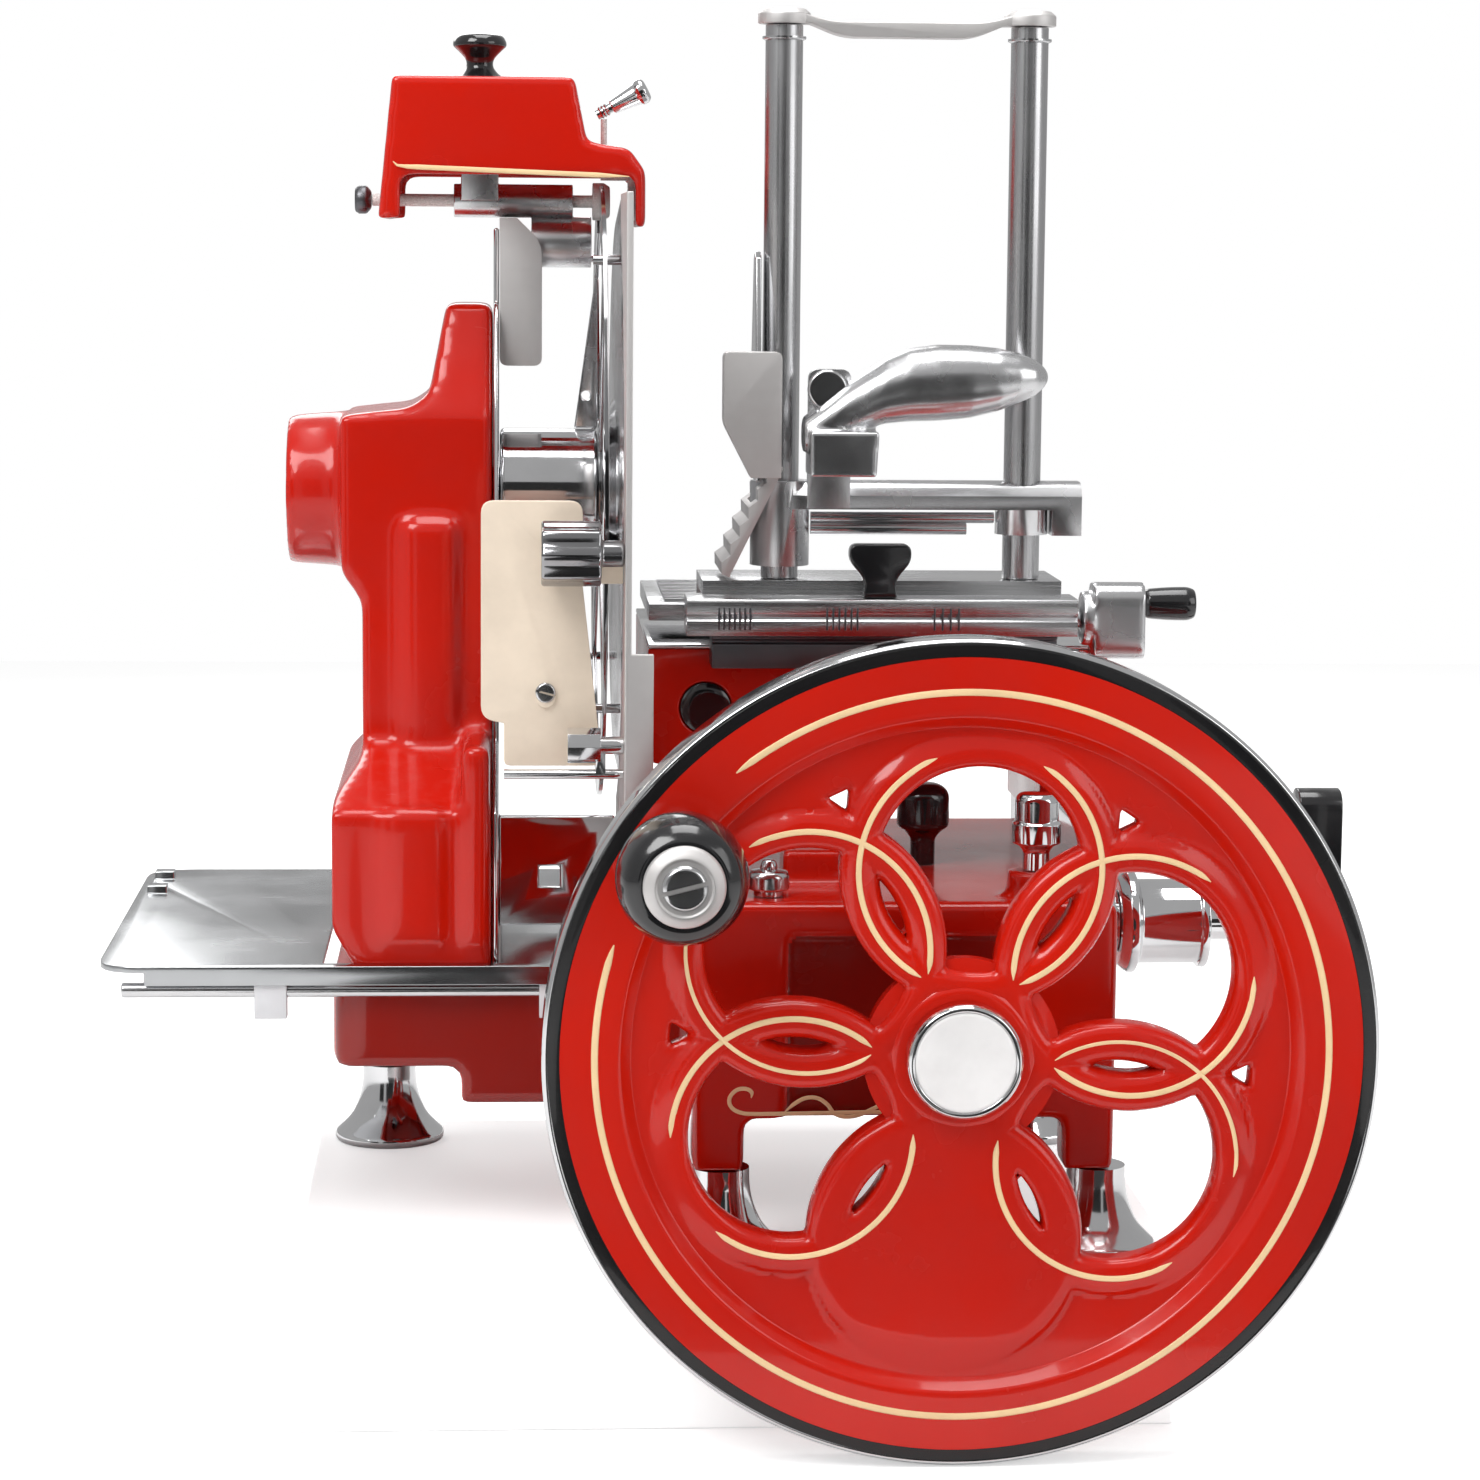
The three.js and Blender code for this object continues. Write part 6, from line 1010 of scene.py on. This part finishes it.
def paint_shade_on_base():
    """Painted shade: the wing under the tray, the recessed panels and the level faces inside the base take a
    darker red that stands for the shadow falling there.
    """
    obj = bpy.data.objects["base_frame_finished"]
    obj.data.materials.append(PAINTED_SHADE_RED)
    for face in obj.data.polygons:
        x, y, z = (value / MM for value in face.center)
        front, up = -face.normal.y, face.normal.z
        panel = front > STEEP_SHARE and between(y, PANEL_DEPTH) and z < PANEL_TOP
        wing = x < WING_EDGE and (front > SLIGHT_SHARE or up < -EVEN_SHARE)
        level = up < EVEN_SHARE and z < INSIDE_TOP
        inside = level and between(y, INSIDE_DEPTH) and between(x, INSIDE_WIDTH)
        if wing or panel or inside:
            face.material_index = 1


STONE_LEVER = (-55.4, 150, 524.6)
STONE_LEVER_TILT = -28


def stone_lever():
    """The chromed lever of the honing stone: a sprung neck and a flared end."""
    mesh = turned_mesh("stone_lever_turned", [
        (0, 0), (2.4, 0), (2.4, 1.6), (3.1, 2.3), (2.4, 3), (3.1, 3.8), (2.4, 4.6), (3.1, 5.4), (2.4, 6.2),
        (2.4, 8), (3.4, 8.6), (5.2, 21.6, 2), (6.2, 23), (6.2, 25.6, 1), (4.6, 27.4, 0.8), (0, 27.6),
    ], "x", (0, 0, 0), 48)
    mesh.transform(Matrix.Rotation(math.radians(STONE_LEVER_TILT), 4, "Y"))
    mesh.transform(Matrix.Translation(Vector(STONE_LEVER) * MM))
    dress(as_object("stone_lever_turned", mesh), BODY_OF["stone_lever"], CHROME, ["stone_lever"])


LEAF_Y = 42
LEAF = (
    (38, 376, 12, 8), (47, 380, 13, 11), (56, 386, 13.5, 12.5), (65, 391, 14.5, 13.5), (75, 396.2, 16, 15),
    (86, 399.2, 17.4, 16.8), (100, 400.4, 18.4, 17.6), (115, 401, 18.6, 16.8), (128, 402, 18, 14.6),
    (138, 402.8, 16, 11.6), (145.4, 403, 12.8, 8.4), (149.8, 403.2, 8, 4.8), (151.8, 403.2, 2.4, 1.6),
)
BOSS = ((40.6, 357.4), (71.4, 357.4), (72.4, 378), (40.6, 378))
BOSS_FRONT, BOSS_BACK = 26, 58
LEVER_VOXEL, LEVER_ROUNDS = 1.2, 6
PRESS_PIVOT = (49, 0, 397)


def press_lever():
    """The cast lever: a boss under a broad leaf that rises and ends in a round tip."""
    leaf = lofted_mesh("leaf", LEAF_Y, LEAF)
    boss = pushed_mesh("boss", BOSS, "y", BOSS_FRONT, BOSS_BACK)
    lever = fused("press_lever_cast", [leaf, boss], LEVER_VOXEL, LEVER_ROUNDS)
    dress(lever, "press_lever", CAST_ALUMINIUM, ["press_handle"])
    turned("press_pivot_face", "press", [
        (0, 36.4), (8.4, 36.2, 0.8), (9.2, 37, 0.6), (9.2, 39.6), (0, 39.6),
    ], "y", PRESS_PIVOT, POLISHED)


DIAL_WING = 283.5
DIAL_EDGE = 0.7


def dial():
    """The dial's disc and rod in plate, its wing in black moulding."""
    obj = softened("thickness_dial", CHROME, DIAL_EDGE)
    obj.data.materials.append(BLACK)
    for face in obj.data.polygons:
        if face.center.x > DIAL_WING * MM:
            face.material_index = 1


MARK_GROUPS = {(0, 14.6): 7, (50.6, 64.8): 6, (101, 112.4): 4}
MARK_Y, MARK_Z = 44, 290
MARK_SIZE = (0.9, 10.5)
MARK_DEPTH, MARK_EDGE = 0.35, 0.2


def bars(name, body, places, size, material):
    """Small upright bars at points in mm, one mesh."""
    wide, high = size[0] / 2, size[1] / 2
    outline = rectangle(-wide, wide, -high, high)
    bar = pushed_mesh(name + "_bar", outline, "y", -MARK_DEPTH, MARK_DEPTH, MARK_EDGE)
    bar = as_object(name + "_bar", bar)
    mesh = bpy.data.meshes.new(name)
    mesh.from_pydata([[value * MM for value in place] for place in places], [], [])
    obj = grown(as_object(name, mesh), SCATTER, Part=bar, Size=1.0, Material=material)
    bpy.data.objects.remove(bar)
    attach(obj, body)


FACE_SHARE, FACE_ROUND_SHARE, SIDE_SHARE, DEPTH_SHARE = 0.86, 0.1, 0.16, 0.5
SLOT_LONG_SHARE, SLOT_WIDE_SHARE, SLOT_OVER_SHARE, SLOT_DEEP_SHARE = 1.2, 0.1, 0.2, 0.22


def screw_head(name, body, radius, axis, centre, outward, tilt, material):
    """A slotted screw head turned by tilt degrees; outward is the sign of its face along the axis."""
    inward = -outward * radius
    head = as_object(name, turned_mesh(name, [
        (0, 0), (radius * FACE_SHARE, 0, radius * FACE_ROUND_SHARE), (radius, inward * SIDE_SHARE),
        (radius, inward * DEPTH_SHARE), (0, inward * DEPTH_SHARE),
    ], axis, (0, 0, 0), 64))
    long, wide = radius * SLOT_LONG_SHARE, radius * SLOT_WIDE_SHARE
    slot = as_object(name + "_slot", pushed_mesh(
        name + "_slot", rectangle(-long, long, -wide, wide), axis,
        -inward * SLOT_OVER_SHARE, inward * SLOT_DEEP_SHARE))
    slot.data.transform(Matrix.Rotation(math.radians(tilt), 4, axis.upper()))
    carved(head, [slot])
    head.data.transform(Matrix.Translation(Vector(centre) * MM))
    dress(head, body, material)


GRIP_SCREW, GRIP_SCREW_RADIUS = (CRANK[0], -139.2, CRANK[2]), 9.9
DEFLECTOR_SCREW, DEFLECTOR_SCREW_RADIUS = (-81.2, -6.4, 261), 4.6
COVER_TURN = ((-152.6, 103.6, 500.6), (-150.6, 103.7, 498.8), (-146, 103.7, 498.2))
COVER_STEP, COVER_STEPS, COVER_FALL_SHARE = 5, 22, 0.035
COVER_LINE_WIDTH, COVER_LINE_THICK = 2.4, 0.3
SCROLLS = {
    "curl": [
        (13.4, 74.6), (13.6, 77.4), (11, 79), (7, 78.6), (4, 75.8), (3.4, 72.4), (5.4, 69.4), (9.6, 67.6),
        (15.4, 67.2), (30, 67.3), (52, 67.6), (76, 67.9), (96, 68.4),
    ],
    "crest": [
        (28.4, 67.6), (33.2, 71.8), (38.6, 74.6), (44.2, 74.4), (48.6, 71.4), (51.6, 67.4), (56.4, 65.7),
        (63, 66.4), (69.6, 69.4), (74.4, 71.2), (79.6, 69.8), (83.4, 66.8),
    ],
}
SCROLL_Y = -12.15
SCROLL_WIDTH, SCROLL_THICK = 1.9, 0.2


def trim():
    screw_head("grip_screw_slot", "wheel", GRIP_SCREW_RADIUS, "y", GRIP_SCREW, -1, -14, POLISHED)
    screw_head("deflector_screw", "base", DEFLECTOR_SCREW_RADIUS, "y", DEFLECTOR_SCREW, -1, 15, POLISHED)
    marks = [(low + (high - low) * step / (count - 1), MARK_Y, MARK_Z)
             for (low, high), count in MARK_GROUPS.items() for step in range(count)]
    bars("feed_strip_marks", "table", marks, MARK_SIZE, DARK_STEEL)
    x, y, z = COVER_TURN[-1]
    line = list(COVER_TURN)
    line += [(x + step * COVER_STEP, y, z - step * COVER_STEP * COVER_FALL_SHARE)
             for step in range(1, COVER_STEPS)]
    painted_line("stripe_cover", "base", line, COVER_LINE_WIDTH, COVER_LINE_THICK, 3)
    for name, points in SCROLLS.items():
        path = [(x, SCROLL_Y, z) for x, z in smooth_path(points, 5)]
        painted_line(f"stripe_base_{name}", "base", path, SCROLL_WIDTH, SCROLL_THICK, 5)


worked_parts()
column()
paint_shade_on_base()
stone_lever()
dial()
press_lever()
trim()


# Floor, light and camera

WHITE = (0.86, 0.86, 0.86, 1)
NEAR_BLACK = (0.01, 0.01, 0.01, 1)
PALE_LIFT = 0.5
FLOOR, FLOOR_HEIGHT = (-3000, 3000, -2600, 3200), (-83.5, -81.5)
PLINTH, PLINTH_HEIGHT, PLINTH_EDGE = (-196, 212, -14, 266), (-81.4, -0.05), 1.5
CARDS = {"card_left": (-2300, -1250), "card_middle": (-760, 700), "card_right": (1050, 1900)}
CARD_HEIGHT, CARD_DEPTH = (-900, 1150), (-2400, -2390)
FLOOR_CARD, FLOOR_CARD_HEIGHT = (-260, 560, -2380, -260), (-81.3, -81.1)


def plain_material(name, roughness):
    """Matt white that looks lifted to the camera only."""
    material, tree, shader = new_material(
        name, Base_Color=WHITE, Roughness=roughness, Specular_IOR_Level=0, Emission_Color=(1, 1, 1, 1),
    )
    path = add_node(tree, "ShaderNodeLightPath")
    glow = reckoned(tree, "MULTIPLY", path.outputs["Is Camera Ray"], PALE_LIFT)
    tree.links.new(glow, shader.inputs["Emission Strength"])
    return material


def dark_cards():
    """Black cards beside the camera and on the floor before it, seen only in the metal and the clear coat."""
    card = new_material("card_black", Base_Color=NEAR_BLACK, Roughness=0.9)[0]
    boards = [pushed_mesh(name, rectangle(*sides, *CARD_HEIGHT), "y", *CARD_DEPTH)
              for name, sides in CARDS.items()]
    boards.append(pushed_mesh("card_floor", rectangle(*FLOOR_CARD), "z", *FLOOR_CARD_HEIGHT))
    for board in boards:
        obj = as_object(board.name, board)
        board.materials.append(card)
        obj.visible_camera = False
        obj.visible_diffuse = False
        obj.visible_shadow = False


def staging():
    floor = as_object("floor", pushed_mesh("floor", rectangle(*FLOOR), "z", *FLOOR_HEIGHT))
    floor.data.materials.append(plain_material("floor_white", 0.6))
    block = as_object("plinth", pushed_mesh("plinth", rectangle(*PLINTH), "z", *PLINTH_HEIGHT, PLINTH_EDGE))
    block.data.materials.append(plain_material("plinth_white", 0.5))


LIGHT_AIM = (0.03, 0.1, 0.2)
LIGHTS = {
    "key_light": ((-1.2, -1.2, 2.0), 1.2, 1.2, 34), "fill_light": ((1.9, -1.3, 1.1), 1.2, 1.4, 10),
    "top_light": ((0.1, 0.1, 2.4), 1.6, 1.2, 30), "back_light": ((-0.6, 2.2, 1.4), 1.6, 0.9, 14),
}
SKY_STRENGTH = 0.42


def area_light(name, place, width, height, power):
    """A lamp with its sizes in metres and its power in watts, turned to the machine."""
    data = bpy.data.lights.new(name, "AREA")
    data.shape = "RECTANGLE"
    data.size = width
    data.size_y = height
    data.energy = power
    lamp = bpy.data.objects.new(name, data)
    bpy.context.scene.collection.objects.link(lamp)
    turn = (Vector(LIGHT_AIM) - Vector(place)).to_track_quat("-Z", "Y").to_matrix().to_4x4()
    lamp.matrix_world = Matrix.Translation(Vector(place)) @ turn


def world():
    sky = bpy.data.worlds.new("studio")
    sky.use_nodes = True
    tree = sky.node_tree
    tree.nodes.clear()
    out = tree.nodes.new("ShaderNodeOutputWorld")
    path = add_node(tree, "ShaderNodeLightPath")
    seen = reckoned(tree, "MAXIMUM", path.outputs["Is Camera Ray"], path.outputs["Is Transmission Ray"])
    soft = add_node(tree, "ShaderNodeBackground", {"Color": (1, 1, 1, 1), "Strength": SKY_STRENGTH})
    white = add_node(tree, "ShaderNodeBackground", {"Color": (1, 1, 1, 1), "Strength": 1.0})
    both = add_node(tree, "ShaderNodeMixShader", {0: seen, 1: soft.outputs[0], 2: white.outputs[0]})
    tree.links.new(both.outputs[0], out.inputs["Surface"])
    bpy.context.scene.world = sky


PHOTO = 1480
FOCAL = 3800
YAW, PITCH, ROLL = math.radians(3.5), math.radians(7.5), math.radians(0.5)
DISTANCE = 1776
SENSOR = 36
CLIP_END = 60
ANCHOR = (FOOT_RIGHT, 0, 0)
ANCHOR_PIXEL = (1094, 1247)


def camera():
    """The photograph's camera, from the wheel's circle and the feet; the image is taken as 1480 by 1480."""
    forward = Vector((math.sin(YAW) * math.cos(PITCH), math.cos(YAW) * math.cos(PITCH), -math.sin(PITCH)))
    level = Vector((math.cos(YAW), -math.sin(YAW), 0))
    upright = level.cross(forward)
    right = level * math.cos(ROLL) + upright * math.sin(ROLL)
    up = -level * math.sin(ROLL) + upright * math.cos(ROLL)
    across = (ANCHOR_PIXEL[0] - PHOTO / 2) / FOCAL
    down = (ANCHOR_PIXEL[1] - PHOTO / 2) / FOCAL
    place = (Vector(ANCHOR) - DISTANCE * (forward + across * right - down * up)) * MM
    data = bpy.data.cameras.new("photo_camera")
    data.sensor_width = SENSOR
    data.lens = FOCAL * SENSOR / PHOTO
    data.clip_end = CLIP_END
    eye = bpy.data.objects.new("photo_camera", data)
    bpy.context.scene.collection.objects.link(eye)
    turn = Matrix((right, up, -forward)).transposed().to_4x4()
    eye.matrix_world = Matrix.Translation(place) @ turn
    bpy.context.scene.camera = eye


staging()
dark_cards()
for title, light in LIGHTS.items():
    area_light(title, *light)
world()
camera()
bpy.context.scene.view_settings.view_transform = "Standard"
